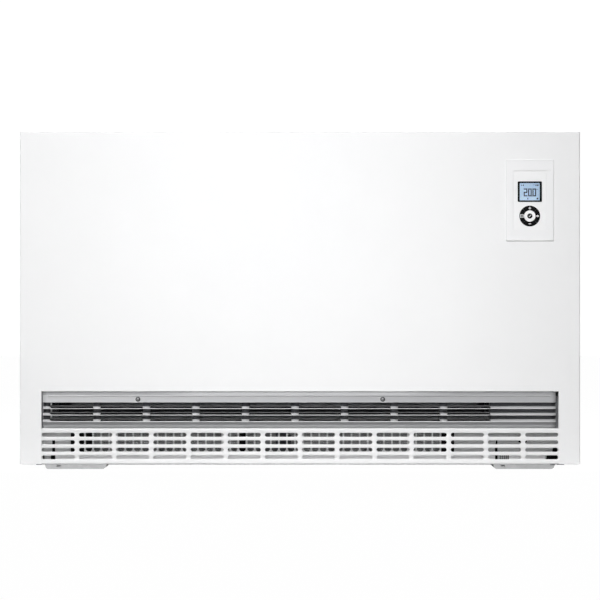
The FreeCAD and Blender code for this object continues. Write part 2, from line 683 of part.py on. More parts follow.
def outlet_grille():
    """Silver warm-air grille: saw-tooth louvres, flanges with a bead, ribs, closed ends, bosses."""
    front = FRONT_Y + GRILLE_SETBACK
    back = front + LOUVRE_DEPTH
    shield = FRONT_Y + SHIELD_SETBACK
    foot_z = OUTLET_Z - SEAM + FIT
    head_z = NOTCH_TOP_Z - SEAM / 2
    x0 = LOUVRE_LEFT_X
    x1 = LOUVRE_RIGHT_X
    kick = front + GRILLE_KICK
    waist = OUTLET_Z + GRILLE_WAIST
    heel = front + GRILLE_FOOT
    inside = front + GRILLE_SHEET
    bottom = section_x(x0, x1, [
        (front, GRILLE_Z), (front, GRILLE_Z - LOUVRE_NOSE), (kick, waist), (heel, foot_z),
        (heel + GRILLE_SHEET, foot_z), (kick + GRILLE_SHEET, waist), (inside, GRILLE_Z - LOUVRE_NOSE),
        (inside, GRILLE_Z)])
    top = section_x(x0, x1, [
        (front, FLANGE_Z), (back, FLANGE_Z), (back, FLANGE_Z + GRILLE_SHEET),
        (inside, FLANGE_Z + GRILLE_SHEET), (inside, head_z - GRILLE_SHEET), (shield, head_z - GRILLE_SHEET),
        (shield, head_z), (front, head_z)])
    bead = section_x(x0 + GRILLE_BEAD_END, x1 - GRILLE_BEAD_END, [
        (front - proud, FLANGE_Z + GRILLE_BEAD_RISE + rise) for proud, rise in GRILLE_BEAD])
    pieces = [bottom, top, bead]
    for low, high in louvre_levels()[:-1]:
        pieces.append(section_x(x0, x1, [
            (front, high), (back, high), (back, high + GRILLE_SHEET), (inside, high + GRILLE_SHEET),
            (inside, high + LOUVRE_NOSE), (front, high + LOUVRE_NOSE)]))
    for low, high in louvre_levels():
        pieces.append(louvre_web(x0, SUPPORT_LEFT_X, 0, -LEFT_END_FLARE, low, high))
        pieces.append(louvre_web(SUPPORT_RIGHT_X, x1, RIB_FLARE, 0, low, high))
        for x in rib_places():
            pieces.append(louvre_web(x - RIB_WIDTH / 2, x + RIB_WIDTH / 2, RIB_FLARE, RIB_FLARE, low, high))
    recess = front + LOUVRE_DEPTH / 2
    pieces.append(block(SEAM - HALF_NOTCH, x0 + GRILLE_SHEET, recess, shield - FIT, foot_z, head_z))
    pieces.append(block(x1 - GRILLE_SHEET, HALF_NOTCH - SEAM, recess, shield - FIT, foot_z, head_z))
    for x, z in grille_screw_places():
        boss = SCREW_HEAD_DIAMETER / 2
        pieces.append(block(x - boss, x + boss, front + GRILLE_SHEET, shield, z - boss, z + boss))
    grille = joined(pieces)
    for x, z in grille_screw_places():
        grille = grille.cut(prism(
            SCREW_SIDES, SCREW_DIAMETER / 2 + FIT, Vector(x, front - 1, z), ALONG_Y * (shield - front + 2)))
    return grille


def grille_screw_places():
    z = FLANGE_Z + GRILLE_SCREW_RISE
    first = GRILLE_SCREW_LEFT - HALF_NOTCH
    return [(first, z), (first + GRILLE_SCREW_SPACING, z)]


def grille_screws():
    """Two raised-head screws through the top flange into its bosses."""
    front = FRONT_Y + GRILLE_SETBACK
    tip = FRONT_Y + SHIELD_SETBACK - FIT
    screws = []
    for x, z in grille_screw_places():
        start = Vector(x, front, z)
        head = prism(2 * SCREW_SIDES, SCREW_HEAD_DIAMETER / 2, start, ALONG_Y * -SCREW_HEAD)
        screws.append(head.fuse(prism(SCREW_SIDES, SCREW_DIAMETER / 2, start, ALONG_Y * (tip - front))))
    return Part.makeCompound(screws)


def inner_front_shield():
    """Galvanised sheet in front of the front insulation; the outlet grille's bosses meet it."""
    front = FRONT_Y + SHIELD_SETBACK
    return block(
        STORE_LEFT_X, STORE_RIGHT_X, front, front + SHIELD_SHEET, FLANGE_Z + GRILLE_SHEET, STORE_TOP_Z)


def front_insulation():
    return block(STORE_LEFT_X, STORE_RIGHT_X, STORE_FRONT_Y, CORE_FRONT_Y - CORE_GAP, STORE_Z, ROOF_Z)


def rear_insulation():
    return block(STORE_LEFT_X, STORE_RIGHT_X, CORE_REAR_Y + CORE_GAP, STORE_REAR_Y, STORE_Z, ROOF_Z)


def left_insulation():
    return block(STORE_LEFT_X, CORE_LEFT_X, CORE_FRONT_Y, CORE_REAR_Y, STORE_Z, ROOF_Z)


def right_insulation():
    """Right-hand slab, pierced for the element tails and the core sensor."""
    slab = block(CORE_RIGHT_X, STORE_RIGHT_X, CORE_FRONT_Y, CORE_REAR_Y, STORE_Z, ROOF_Z)
    half = ELEMENT_GROOVE / 2
    for z in element_levels():
        for y in element_legs():
            slab = slab.cut(block(
                CORE_RIGHT_X - 1, STORE_RIGHT_X + 1, y - half, y + half, z - half, z + half))
    half = SENSOR_RADIUS + FIT
    z = sensor_z()
    return slab.cut(block(
        CORE_RIGHT_X - 1, STORE_RIGHT_X + 1, CORE_MIDDLE_Y - half, CORE_MIDDLE_Y + half, z - half, z + half))


def air_channels(x0, x1, z0, z1):
    """The rear channel that carries air up and the front channel that brings it down."""
    cuts = []
    for side in (-1, 1):
        y = CORE_MIDDLE_Y + side * CHANNEL_OFFSET
        cuts.append(block(x0, x1, y - CHANNEL_DEPTH / 2, y + CHANNEL_DEPTH / 2, z0, z1))
    return cuts


def column_left(column):
    return CORE_LEFT_X + column * BRICK_PITCH_X


def base_insulation():
    slab = block(
        CORE_LEFT_X + CORE_GAP, CORE_RIGHT_X - CORE_GAP, CORE_FRONT_Y, CORE_REAR_Y, STORE_Z, CORE_Z)
    for column in range(BRICK_COLUMNS):
        x = column_left(column)
        slab = slab.cut(air_channels(
            x + CHANNEL_INSET, x + BRICK_PITCH_X - CHANNEL_INSET, STORE_Z - 1, CORE_Z + 1))
    return slab


def top_insulation():
    return block(STORE_LEFT_X, STORE_RIGHT_X, STORE_FRONT_Y, STORE_REAR_Y, ROOF_Z, STORE_TOP_Z)


def core_tray():
    """Steel plate under the store, flanged down at front and rear, pierced for the air."""
    tray = section_x(STORE_LEFT_X, STORE_RIGHT_X, [
        (STORE_FRONT_Y, STORE_Z), (STORE_FRONT_Y, CORE_TRAY_Z - CORE_TRAY_FLANGE),
        (STORE_FRONT_Y + CORE_TRAY_SHEET, CORE_TRAY_Z - CORE_TRAY_FLANGE),
        (STORE_FRONT_Y + CORE_TRAY_SHEET, CORE_TRAY_Z), (STORE_REAR_Y - CORE_TRAY_SHEET, CORE_TRAY_Z),
        (STORE_REAR_Y - CORE_TRAY_SHEET, CORE_TRAY_Z - CORE_TRAY_FLANGE),
        (STORE_REAR_Y, CORE_TRAY_Z - CORE_TRAY_FLANGE), (STORE_REAR_Y, STORE_Z)])
    for column in range(BRICK_COLUMNS):
        x = column_left(column)
        tray = tray.cut(air_channels(
            x + CHANNEL_INSET, x + BRICK_PITCH_X - CHANNEL_INSET, CORE_TRAY_Z - 1, STORE_Z + 1))
    return tray


def element_levels():
    """Heights of the three joints between paired brick rows, where the elements lie."""
    return [CORE_Z + (2 * pair + 1) * BRICK_PITCH_Z for pair in range(BRICK_ROW_PAIRS)]


def element_legs():
    return CORE_MIDDLE_Y - ELEMENT_LEG_OFFSET, CORE_MIDDLE_Y + ELEMENT_LEG_OFFSET


def sensor_z():
    return CORE_Z + 2 * BRICK_PITCH_Z


def strap_box(level, grow):
    """The metal strap that joins an element's two legs at the left-hand end."""
    half = ELEMENT_LEG_OFFSET + ELEMENT_DIAMETER / 2 + grow
    rise = ELEMENT_DIAMETER / 2 + grow
    left = CORE_LEFT_X + ELEMENT_STRAP / 2
    return block(
        left - grow, left + ELEMENT_STRAP + grow, CORE_MIDDLE_Y - half, CORE_MIDDLE_Y + half,
        level - rise, level + rise)


def brick(column, row):
    """One storage brick: two air channels through it and half-grooves for the elements."""
    x0 = column_left(column) + BRICK_GAP / 2
    x1 = column_left(column + 1) - BRICK_GAP / 2
    z0 = CORE_Z + row * BRICK_PITCH_Z
    z1 = z0 + BRICK_PITCH_Z
    level = element_levels()[row // 2]
    left = column_left(column)
    cuts = air_channels(left + CHANNEL_INSET, left + BRICK_PITCH_X - CHANNEL_INSET, z0 - 1, z1 + 1)
    half = ELEMENT_GROOVE / 2
    for y in element_legs():
        cuts.append(block(x0 - 1, x1 + 1, y - half, y + half, level - half, level + half))
    if column == 0:
        cuts.append(strap_box(level, half - ELEMENT_DIAMETER / 2))
    return block(x0, x1, CORE_FRONT_Y, CORE_REAR_Y, z0, z1).cut(cuts)


def brick_layers(pair):
    """Two rows of bricks that hold one heating element between them."""
    rows = (2 * pair, 2 * pair + 1)
    return Part.makeCompound([brick(column, row) for row in rows for column in range(BRICK_COLUMNS)])


def heating_element(level):
    """Tubular element: two long legs joined by a strap, flat terminal tabs at the right."""
    left = CORE_LEFT_X + ELEMENT_STRAP
    end = SWITCH_FACE_X + ELEMENT_TAIL / 2
    half = ELEMENT_DIAMETER / 3
    pieces = [strap_box(level, 0)]
    for y in element_legs():
        start = Vector(left, y, level)
        pieces.append(prism(ELEMENT_SIDES, ELEMENT_DIAMETER / 2, start, ALONG_X * (end - left)))
        pieces.append(block(
            end - half, end + ELEMENT_TAIL / 2, y - half, y + half,
            level - TAB_SHEET / 2, level + TAB_SHEET / 2))
    return pieces[0].multiFuse(pieces[1:])


def core_support(x, turn):
    """Upright steel plate that carries the core tray on the base tray, flanged top and bottom."""
    front = FILTER_Y + FILTER_SHEET + 3
    back = STORE_REAR_Y - CORE_TRAY_SHEET - FIT
    x0 = min(x, x + turn * SUPPORT_SHEET)
    plate = block(x0, x0 + SUPPORT_SHEET, front, back, TRAY_TOP_Z, CORE_TRAY_Z)
    reach = x + turn * SUPPORT_FLANGE
    for z0, z1 in ((TRAY_TOP_Z, TRAY_TOP_Z + SUPPORT_SHEET), (CORE_TRAY_Z - SUPPORT_SHEET, CORE_TRAY_Z)):
        plate = plate.fuse(block(min(x, reach), max(x, reach), front, back, z0, z1))
    return plate.removeSplitter()


def left_core_support():
    return core_support(SUPPORT_LEFT_X, -1)


def right_core_support():
    return core_support(SUPPORT_RIGHT_X, 1)


def flap_ends():
    return SUPPORT_LEFT_X + FLAP_END_SPACE, SUPPORT_RIGHT_X - FLAP_END_SPACE


def flap_axis():
    """Depth and height of the line the mixing flap hangs on."""
    y = BAFFLE_Y - FIT - FLAP_PIN_DIAMETER / 2
    return y, BAFFLE_Z + BYPASS_RISE + BYPASS_HEIGHT + FLAP_LAP


def air_baffle():
    """Folded sheet that parts intake from outlet air, with a bypass window and two flap ears."""
    x0 = SUPPORT_LEFT_X + FIT
    x1 = SUPPORT_RIGHT_X - FIT
    front = FILTER_Y + FILTER_SHEET + 1
    rear = BAFFLE_Y + BAFFLE_SHEET
    shelf_top = BAFFLE_Z + BAFFLE_SHEET
    sheet = section_x(x0, x1, [
        (front, BAFFLE_Z), (rear, BAFFLE_Z), (rear, CORE_TRAY_Z), (BAFFLE_Y, CORE_TRAY_Z),
        (BAFFLE_Y, shelf_top), (front, shelf_top)])
    left, right = flap_ends()
    margin = 4 * FLAP_LAP
    sill = BAFFLE_Z + BYPASS_RISE
    sheet = sheet.cut(block(
        left + margin, right - margin, BAFFLE_Y - 1, rear + 1, sill, sill + BYPASS_HEIGHT))
    y, z = flap_axis()
    half = 1.6 * FLAP_PIN_DIAMETER
    for x in (left - FIT - FLAP_EAR, right + FIT):
        ear = block(x, x + FLAP_EAR, y - half, BAFFLE_Y + BAFFLE_SHEET / 2, z - half, z + half)
        sheet = sheet.fuse(ear)
    hole = FLAP_PIN_DIAMETER / 2 + RUNNING_FIT
    return sheet.cut(rod_x(hole, left - 4 * FLAP_EAR, right + 4 * FLAP_EAR, y, z)).removeSplitter()


def mixing_flap():
    """Hanging flap over the bypass window: a strip under a pin rod, hemmed towards the baffle."""
    left, right = flap_ends()
    y, z = flap_axis()
    foot_z = BAFFLE_Z + BYPASS_RISE - FLAP_LAP
    hem = BAFFLE_Y - FIT
    half = FLAP_SHEET / 2
    blade = section_x(left, right, [
        (y + half, z), (y + half, foot_z + FLAP_SHEET), (hem, foot_z + FLAP_SHEET), (hem, foot_z),
        (y - half, foot_z), (y - half, z)])
    pin = rod_x(FLAP_PIN_DIAMETER / 2, left - FLAP_PIN_LENGTH, right + FLAP_PIN_LENGTH, y, z)
    return blade.fuse(pin).removeSplitter()


def guide_point(angle, extra):
    """A point of the fan's rear guide, at an angle turned rearwards from straight down."""
    turn = math.radians(angle)
    radius = ROTOR_RADIUS + GUIDE_CLEARANCE + GUIDE_SPREAD * angle / GUIDE_SWEEP + extra
    return Vector(FAN_LEFT_X, FAN_Y + radius * math.sin(turn), FAN_Z - radius * math.cos(turn))


def fan_housing():
    """Fan casing: a spiral rear guide that rises as a duct wall, and four bearing plates."""
    inner = [guide_point(angle, 0) for angle in (0, GUIDE_SWEEP / 2, GUIDE_SWEEP)]
    outer = [guide_point(angle, FAN_PLATE) for angle in (0, GUIDE_SWEEP / 2)]
    shoulder = inner[2] + Vector(0, FAN_PLATE, 0)
    rise = Vector(0, 0, CORE_TRAY_Z - inner[2].z)
    edges = [
        Part.Arc(*inner).toShape(),
        Part.makeLine(inner[2], inner[2] + rise),
        Part.makeLine(inner[2] + rise, shoulder + rise),
        Part.makeLine(shoulder + rise, shoulder),
        Part.Arc(shoulder, outer[1], outer[0]).toShape(),
        Part.makeLine(outer[0], inner[0]),
    ]
    guide = Part.Face(Part.Wire(edges)).extrude(ALONG_X * (FAN_RIGHT_X - FAN_LEFT_X))
    pieces = [guide]
    near = FAN_Y - FAN_PLATE_WIDTH / 2
    far = inner[2].y + FAN_PLATE
    for x in (FAN_LEFT_X, MOTOR_LEFT_X - FAN_PLATE, MOTOR_RIGHT_X, FAN_RIGHT_X - FAN_PLATE):
        pieces.append(block(x, x + FAN_PLATE, near, far, TRAY_TOP_Z, BAFFLE_Z - FIT))
    housing = joined(pieces)
    port = SHAFT_DIAMETER
    housing = housing.cut(block(
        MOTOR_LEFT_X - 2 * FAN_PLATE, MOTOR_RIGHT_X + 2 * FAN_PLATE, FAN_Y - port, FAN_Y + port,
        FAN_Z - port, FAN_Z + port))
    bush = BEARING_DIAMETER / 2 + RUNNING_FIT
    for x in (FAN_LEFT_X, FAN_RIGHT_X):
        housing = housing.cut(prism(
            BEARING_SIDES, bush, Vector(x - 2 * FAN_PLATE, FAN_Y, FAN_Z), ALONG_X * (4 * FAN_PLATE)))
    return housing


def fan_motor():
    """Shaded-pole motor between the inner plates: a square core, narrower end brackets, a bore."""
    body = block(
        MOTOR_LEFT_X + MOTOR_BRACKET, MOTOR_RIGHT_X - MOTOR_BRACKET, FAN_Y - MOTOR_HALF, FAN_Y + MOTOR_HALF,
        FAN_Z - MOTOR_HALF, FAN_Z + MOTOR_HALF)
    body = body.fuse(block(
        MOTOR_LEFT_X, MOTOR_RIGHT_X, FAN_Y - MOTOR_BRACKET, FAN_Y + MOTOR_BRACKET,
        FAN_Z - MOTOR_BRACKET, FAN_Z + MOTOR_BRACKET))
    return body.cut(rod_x(SHAFT_DIAMETER / 2 + FIT, MOTOR_LEFT_X - 1, MOTOR_RIGHT_X + 1, FAN_Y, FAN_Z))


def rotor_blade(x0, x1, angle):
    """One blade near the rim, creased forwards half-way out."""
    outer = ROTOR_RADIUS - ROTOR_BLADE_SHEET
    inner = outer - ROTOR_BLADE_DEPTH
    spine = [(inner, 0), ((inner + outer) / 2, 0.47 * ROTOR_BLADE_LEAN), (outer, ROTOR_BLADE_LEAN)]

    def side(offset):
        points = []
        for radius, lean in spine:
            turn = math.radians(angle + lean) + offset / radius
            points.append(Vector(x0, FAN_Y + radius * math.cos(turn), FAN_Z + radius * math.sin(turn)))
        return points

    outline = side(ROTOR_BLADE_SHEET / 2) + side(-ROTOR_BLADE_SHEET / 2)[::-1]
    return polygon_face(outline).extrude(ALONG_X * (x1 - x0))


def fan_rotor(x0, x1):
    """Cross-flow rotor: end discs on the shaft and a ring of long curved blades."""
    discs = [rod_x(ROTOR_RADIUS, x, x + ROTOR_DISC, FAN_Y, FAN_Z) for x in (x0, x1 - ROTOR_DISC)]
    bore = rod_x(SHAFT_DIAMETER / 2 + RUNNING_FIT / 2, x0 - 1, x1 + 1, FAN_Y, FAN_Z)
    blades = [
        rotor_blade(x0 + ROTOR_DISC / 2, x1 - ROTOR_DISC / 2, 360 * index / ROTOR_BLADES)
        for index in range(ROTOR_BLADES)]
    return joined([discs[0].cut(bore), discs[1].cut(bore)] + blades)


def left_fan_rotor():
    return fan_rotor(FAN_LEFT_X + FAN_PLATE + ROTOR_GAP, MOTOR_LEFT_X - FAN_PLATE - ROTOR_GAP)


def right_fan_rotor():
    return fan_rotor(MOTOR_RIGHT_X + FAN_PLATE + ROTOR_GAP, FAN_RIGHT_X - FAN_PLATE - ROTOR_GAP)


def fan_shaft():
    return rod_x(
        SHAFT_DIAMETER / 2, FAN_LEFT_X - BEARING_LENGTH, FAN_RIGHT_X + BEARING_LENGTH, FAN_Y, FAN_Z)


def fan_bearings():
    """Plain bushes pressed in the outer plates, standing out on the far side."""
    bushes = []
    bore = SHAFT_DIAMETER / 2 + RUNNING_FIT
    for x in (FAN_LEFT_X + FAN_PLATE - BEARING_LENGTH, FAN_RIGHT_X - FAN_PLATE):
        bush = prism(BEARING_SIDES, BEARING_DIAMETER / 2, Vector(x, FAN_Y, FAN_Z), ALONG_X * BEARING_LENGTH)
        bushes.append(bush.cut(rod_x(bore, x - 1, x + BEARING_LENGTH + 1, FAN_Y, FAN_Z)))
    return Part.makeCompound(bushes)


def switchgear_plate():
    """Folded sheet on the store's right side; its front-facing wing carries the electrics."""
    wall = block(
        SWITCH_X, SWITCH_FACE_X, STORE_FRONT_Y, STORE_REAR_Y, STORE_Z, STORE_TOP_Z)
    half = ELEMENT_LEG_OFFSET + ELEMENT_GROOVE
    for z in element_levels() + [sensor_z()]:
        wall = wall.cut(block(
            SWITCH_X - 1, SWITCH_FACE_X + 1, CORE_MIDDLE_Y - half, CORE_MIDDLE_Y + half,
            z - ELEMENT_GROOVE, z + ELEMENT_GROOVE))
    wing = block(
        SWITCH_FACE_X - SWITCH_SHEET / 2, SWITCH_FACE_X + SWITCH_WIDTH, SWITCH_Y, SWITCH_Y + SWITCH_SHEET,
        SWITCH_Z, SWITCH_TOP_Z)
    return wall.fuse(wing).removeSplitter()


def terminal_block():
    """Mains terminals: a moulded bar with one deep pocket per way."""
    x0 = SWITCH_FACE_X + 6
    x1 = SWITCH_FACE_X + SWITCH_WIDTH - 6
    front = SWITCH_Y - TERMINAL_DEPTH
    z0 = SWITCH_Z + 6
    bar = block(x0, x1, front, SWITCH_Y, z0, z0 + TERMINAL_HEIGHT)
    pitch = (x1 - x0) / TERMINAL_WAYS
    for shift in spread(TERMINAL_WAYS, pitch):
        x = (x0 + x1) / 2 + shift
        bar = bar.cut(block(
            x - pitch / 3, x + pitch / 3, front - 1, front + TERMINAL_DEPTH / 2,
            z0 + 5, z0 + TERMINAL_HEIGHT - 5))
    return bar


def power_board():
    """Circuit board on standoffs, with a row of relays."""
    x0 = SWITCH_FACE_X + 6
    x1 = SWITCH_FACE_X + SWITCH_WIDTH - 6
    z0 = SWITCH_Z + TERMINAL_HEIGHT + 22
    z1 = z0 + BOARD_HEIGHT
    back = SWITCH_Y - BOARD_STANDOFF
    front = back - BOARD_SHEET
    pieces = [block(x0, x1, front, back, z0, z1)]
    for x in (x0 + 5, x1 - 5):
        for z in (z0 + 5, z1 - 5):
            pieces.append(block(x - 3, x + 3, back - BOARD_SHEET / 2, SWITCH_Y, z - 3, z + 3))
    for shift in spread(RELAY_COUNT, BOARD_HEIGHT / (RELAY_COUNT + 1)):
        z = (z0 + z1) / 2 + shift
        pieces.append(block(
            x0 + 14, x0 + 44, front - RELAY_HEIGHT, back - BOARD_SHEET / 2, z - 11, z + 11))
    return joined(pieces)


def limiter_place():
    return SWITCH_FACE_X + SWITCH_WIDTH / 2, SWITCH_TOP_Z - 3 * LIMITER_HALF


def limiter():
    """Over-temperature limiter: a square body on the wing with a neck for its reset button."""
    x, z = limiter_place()
    front = SWITCH_Y - LIMITER_DEPTH
    neck = 2 * RESET_RADIUS
    body = block(
        x - LIMITER_HALF, x + LIMITER_HALF, front, SWITCH_Y, z - LIMITER_HALF, z + LIMITER_HALF)
    body = body.fuse(block(x - neck, x + neck, front - RESET_PROUD, front, z - neck, z + neck))
    return body.cut(rod_y(RESET_RADIUS + FIT, x, front - RESET_PROUD - 1, front + LIMITER_DEPTH / 2, z))


def limiter_reset_button():
    x, z = limiter_place()
    front = SWITCH_Y - LIMITER_DEPTH - RESET_PROUD
    return rod_y(RESET_RADIUS, x, front - RESET_PROUD / 2, front + LIMITER_DEPTH / 2, z)


def core_sensor():
    """Temperature probe through the right-hand insulation, its head on the switchgear side."""
    z = sensor_z()
    end = SWITCH_FACE_X + ELEMENT_TAIL / 2
    head = 2 * SENSOR_RADIUS
    stem = rod_x(SENSOR_RADIUS, CORE_RIGHT_X + CORE_GAP, end, CORE_MIDDLE_Y, z)
    return stem.fuse(block(
        end, end + ELEMENT_TAIL / 2, CORE_MIDDLE_Y - head, CORE_MIDDLE_Y + head, z - head, z + head))


def control_block(half_width, half_height, y0, y1):
    return block(
        CONTROL_X - half_width, CONTROL_X + half_width, y0, y1,
        CONTROL_Z - half_height, CONTROL_Z + half_height)


def control_bezel():
    """White frame on the front panel, with a skirt through the cut-out behind it."""
    face = FRONT_Y - BEZEL_PROUD
    frame = control_block(BEZEL_WIDTH / 2, BEZEL_HEIGHT / 2, face, FRONT_Y)
    frame = rounded_off(frame, BEZEL_PROUD / 3, lambda edge: edge.CenterOfMass.y < face + 1e-6)
    width = BEZEL_WIDTH / 2 - BEZEL_OVERLAP
    height = BEZEL_HEIGHT / 2 - BEZEL_OVERLAP
    skirt = control_block(width, height, FRONT_Y, FRONT_Y + BEZEL_DEPTH)
    inside = control_block(width - BEZEL_WALL, height - BEZEL_WALL, FRONT_Y, FRONT_Y + BEZEL_DEPTH)
    opening = control_block(FACE_WIDTH / 2, FACE_HEIGHT / 2, face - 1, FRONT_Y + 1)
    return frame.fuse(skirt.cut(inside)).cut(opening).removeSplitter()


def backing_half():
    """Half width and half height of the pieces that fit inside the bezel's skirt."""
    lost = BEZEL_OVERLAP + BEZEL_WALL + CONTROL_CLEARANCE
    return BEZEL_WIDTH / 2 - lost, BEZEL_HEIGHT / 2 - lost


def lens_outline(grow, y0, y1):
    half_width = LENS_WIDTH / 2 + grow
    half_height = LENS_HEIGHT / 2 + grow
    pane = block(
        CONTROL_X - half_width, CONTROL_X + half_width, y0, y1, LENS_Z - half_height, LENS_Z + half_height)
    return rounded_off(pane, LENS_RADIUS + grow, lambda edge: lies_along(edge, ALONG_Y))


def control_face():
    """White face plate recessed in the bezel, open for the display and the round keypad."""
    width, height = backing_half()
    plate = control_block(
        FACE_WIDTH / 2 - CONTROL_CLEARANCE, FACE_HEIGHT / 2 - CONTROL_CLEARANCE, FACE_Y, FRONT_Y)
    plate = plate.fuse(control_block(width, height, FRONT_Y, FRONT_Y + FACE_BACKING))
    plate = plate.cut(lens_outline(CONTROL_CLEARANCE / 2, FACE_Y - 1, FRONT_Y + FACE_BACKING + 1))
    return plate.cut(rod_y(
        KEYPAD_RADIUS + CONTROL_CLEARANCE, CONTROL_X, FACE_Y - 1, FRONT_Y + FACE_BACKING + 1, KEYPAD_Z))


def display_lens():
    """Clear window with a dark border, set in the face plate."""
    return lens_outline(0, FACE_Y - LENS_PROUD, FRONT_Y + FACE_BACKING)


def lcd_panel():
    half_width = LENS_WIDTH / 2 + LCD_MARGIN
    half_height = LENS_HEIGHT / 2 + LCD_MARGIN
    back = FRONT_Y + FACE_BACKING
    return block(
        CONTROL_X - half_width, CONTROL_X + half_width, back, back + LCD_THICKNESS,
        LENS_Z - half_height, LENS_Z + half_height)


def quarter_key(middle):
    """One quarter of the black key ring, cut off by a wedge turned to its place."""
    ring = rod_y(KEYPAD_RADIUS, CONTROL_X, FACE_Y - KEY_PROUD, KEY_BACK_Y, KEYPAD_Z)
    ring = ring.cut(rod_y(KEY_HOLE_RADIUS, CONTROL_X, FACE_Y - 9, KEY_BACK_Y + 1, KEYPAD_Z))
    reach = 2 * KEYPAD_RADIUS
    start = KEYPAD_Z + KEY_SPLIT / math.sqrt(2)
    points = [Vector(CONTROL_X, FACE_Y - 9, start), Vector(CONTROL_X - reach, FACE_Y - 9, start + reach),
              Vector(CONTROL_X + reach, FACE_Y - 9, start + reach)]
    wedge = polygon_face(points).extrude(ALONG_Y * reach)
    wedge.rotate(Vector(CONTROL_X, FACE_Y, KEYPAD_Z), ALONG_Y, middle)
    return ring.common(wedge)


def key_plus():
    return quarter_key(0)


def key_next():
    return quarter_key(90)


def key_minus():
    return quarter_key(180)


def key_menu():
    return quarter_key(270)


def key_ok():
    """Round middle key."""
    return rod_y(KEY_OK_RADIUS, CONTROL_X, FACE_Y - KEY_OK_PROUD, KEY_BACK_Y, KEYPAD_Z)


def key_mat():
    """Rubber mat behind the keys."""
    half = KEYPAD_RADIUS + KEY_MAT
    return block(CONTROL_X - half, CONTROL_X + half, MAT_Y, BOARD_Y, KEYPAD_Z - half, KEYPAD_Z + half)


def control_board():
    width, height = backing_half()
    return control_block(width, height, BOARD_Y, BOARD_Y + BOARD_SHEET)


def control_back_cover():
    """Shallow plastic lid that closes the back of the control unit."""
    width, height = backing_half()
    front = BOARD_Y + BOARD_SHEET
    back = FRONT_Y + BEZEL_DEPTH
    lid = control_block(width, height, front, back)
    return lid.cut(control_block(width - BEZEL_WALL, height - BEZEL_WALL, front, back - BEZEL_WALL))


def nodes():
    levels = element_levels()
    return {
        "front_panel": front_panel(),
        "left_side_panel": left_side_panel(),
        "right_side_panel": right_side_panel(),
        "top_panel": top_panel(),
        "rear_panel": rear_panel(),
        "base_tray": base_tray(),
        "left_foot": foot(-FOOT_X),
        "right_foot": foot(FOOT_X),
        "foot_bolts": foot_bolts(),
        "outlet_grille": outlet_grille(),
        "grille_screws": grille_screws(),
        "intake_grille": intake_grille(),
        "filter_frame": filter_frame(),
        "filter_gauze": filter_gauze(),
        "left_base_cover": left_base_cover(),
        "right_base_cover": right_base_cover(),
        "lower_bricks": brick_layers(0),
        "middle_bricks": brick_layers(1),
        "upper_bricks": brick_layers(2),
        "lower_element": heating_element(levels[0]),
        "middle_element": heating_element(levels[1]),
        "upper_element": heating_element(levels[2]),
        "front_insulation": front_insulation(),
        "rear_insulation": rear_insulation(),
        "left_insulation": left_insulation(),
        "right_insulation": right_insulation(),
        "base_insulation": base_insulation(),
        "top_insulation": top_insulation(),
        "inner_front_shield": inner_front_shield(),
        "core_tray": core_tray(),
        "left_core_support": left_core_support(),
        "right_core_support": right_core_support(),
        "air_baffle": air_baffle(),
        "mixing_flap": mixing_flap(),
        "fan_housing": fan_housing(),
        "fan_motor": fan_motor(),
        "left_fan_rotor": left_fan_rotor(),
        "right_fan_rotor": right_fan_rotor(),
        "fan_shaft": fan_shaft(),
        "fan_bearings": fan_bearings(),
        "switchgear_plate": switchgear_plate(),
        "terminal_block": terminal_block(),
        "power_board": power_board(),
        "limiter": limiter(),
        "limiter_reset_button": limiter_reset_button(),
        "core_sensor": core_sensor(),
        "cable_grommet": cable_grommet(),
        "control_bezel": control_bezel(),
        "control_face": control_face(),
        "display_lens": display_lens(),
        "lcd_panel": lcd_panel(),
        "key_plus": key_plus(),
        "key_minus": key_minus(),
        "key_menu": key_menu(),
        "key_next": key_next(),
        "key_ok": key_ok(),
        "key_mat": key_mat(),
        "control_board": control_board(),
        "control_back_cover": control_back_cover(),
    }


os.makedirs("parts", exist_ok=True)
for name, shape in nodes().items():
    shape.exportStep(f"parts/{name}.step")
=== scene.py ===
import math

import bmesh
import bpy
from mathutils import Matrix, Vector


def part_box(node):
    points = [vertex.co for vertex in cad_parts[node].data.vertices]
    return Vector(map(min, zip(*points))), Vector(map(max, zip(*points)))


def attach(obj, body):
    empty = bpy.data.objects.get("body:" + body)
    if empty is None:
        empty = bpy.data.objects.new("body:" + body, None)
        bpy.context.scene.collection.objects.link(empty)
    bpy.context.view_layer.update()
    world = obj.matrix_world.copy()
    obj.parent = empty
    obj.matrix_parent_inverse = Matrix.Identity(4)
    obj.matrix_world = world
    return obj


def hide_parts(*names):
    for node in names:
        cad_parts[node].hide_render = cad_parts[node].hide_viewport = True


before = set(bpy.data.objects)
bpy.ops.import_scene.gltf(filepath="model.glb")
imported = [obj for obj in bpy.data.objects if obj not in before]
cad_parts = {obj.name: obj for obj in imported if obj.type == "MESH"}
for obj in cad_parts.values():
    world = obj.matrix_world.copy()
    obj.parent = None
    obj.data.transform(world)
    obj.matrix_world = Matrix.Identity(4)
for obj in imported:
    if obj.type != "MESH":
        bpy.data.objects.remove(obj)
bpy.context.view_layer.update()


# The floor pan, the rear panel, and the plates that carry and wrap the store, the fan and the switchgear.
# All are zinc-dipped steel sheet, sheared and folded; the zinc freezes in pale and dark crystals.
def node(tree, kind, inputs=None, **settings):
    """A shader node with its settings made and its inputs set or linked."""
    made = tree.nodes.new(kind)
    for name, value in settings.items():
        setattr(made, name, value)
    for name, value in (inputs or {}).items():
        if isinstance(value, bpy.types.NodeSocket):
            tree.links.new(value, made.inputs[name])
        else:
            made.inputs[name].default_value = value
    return made


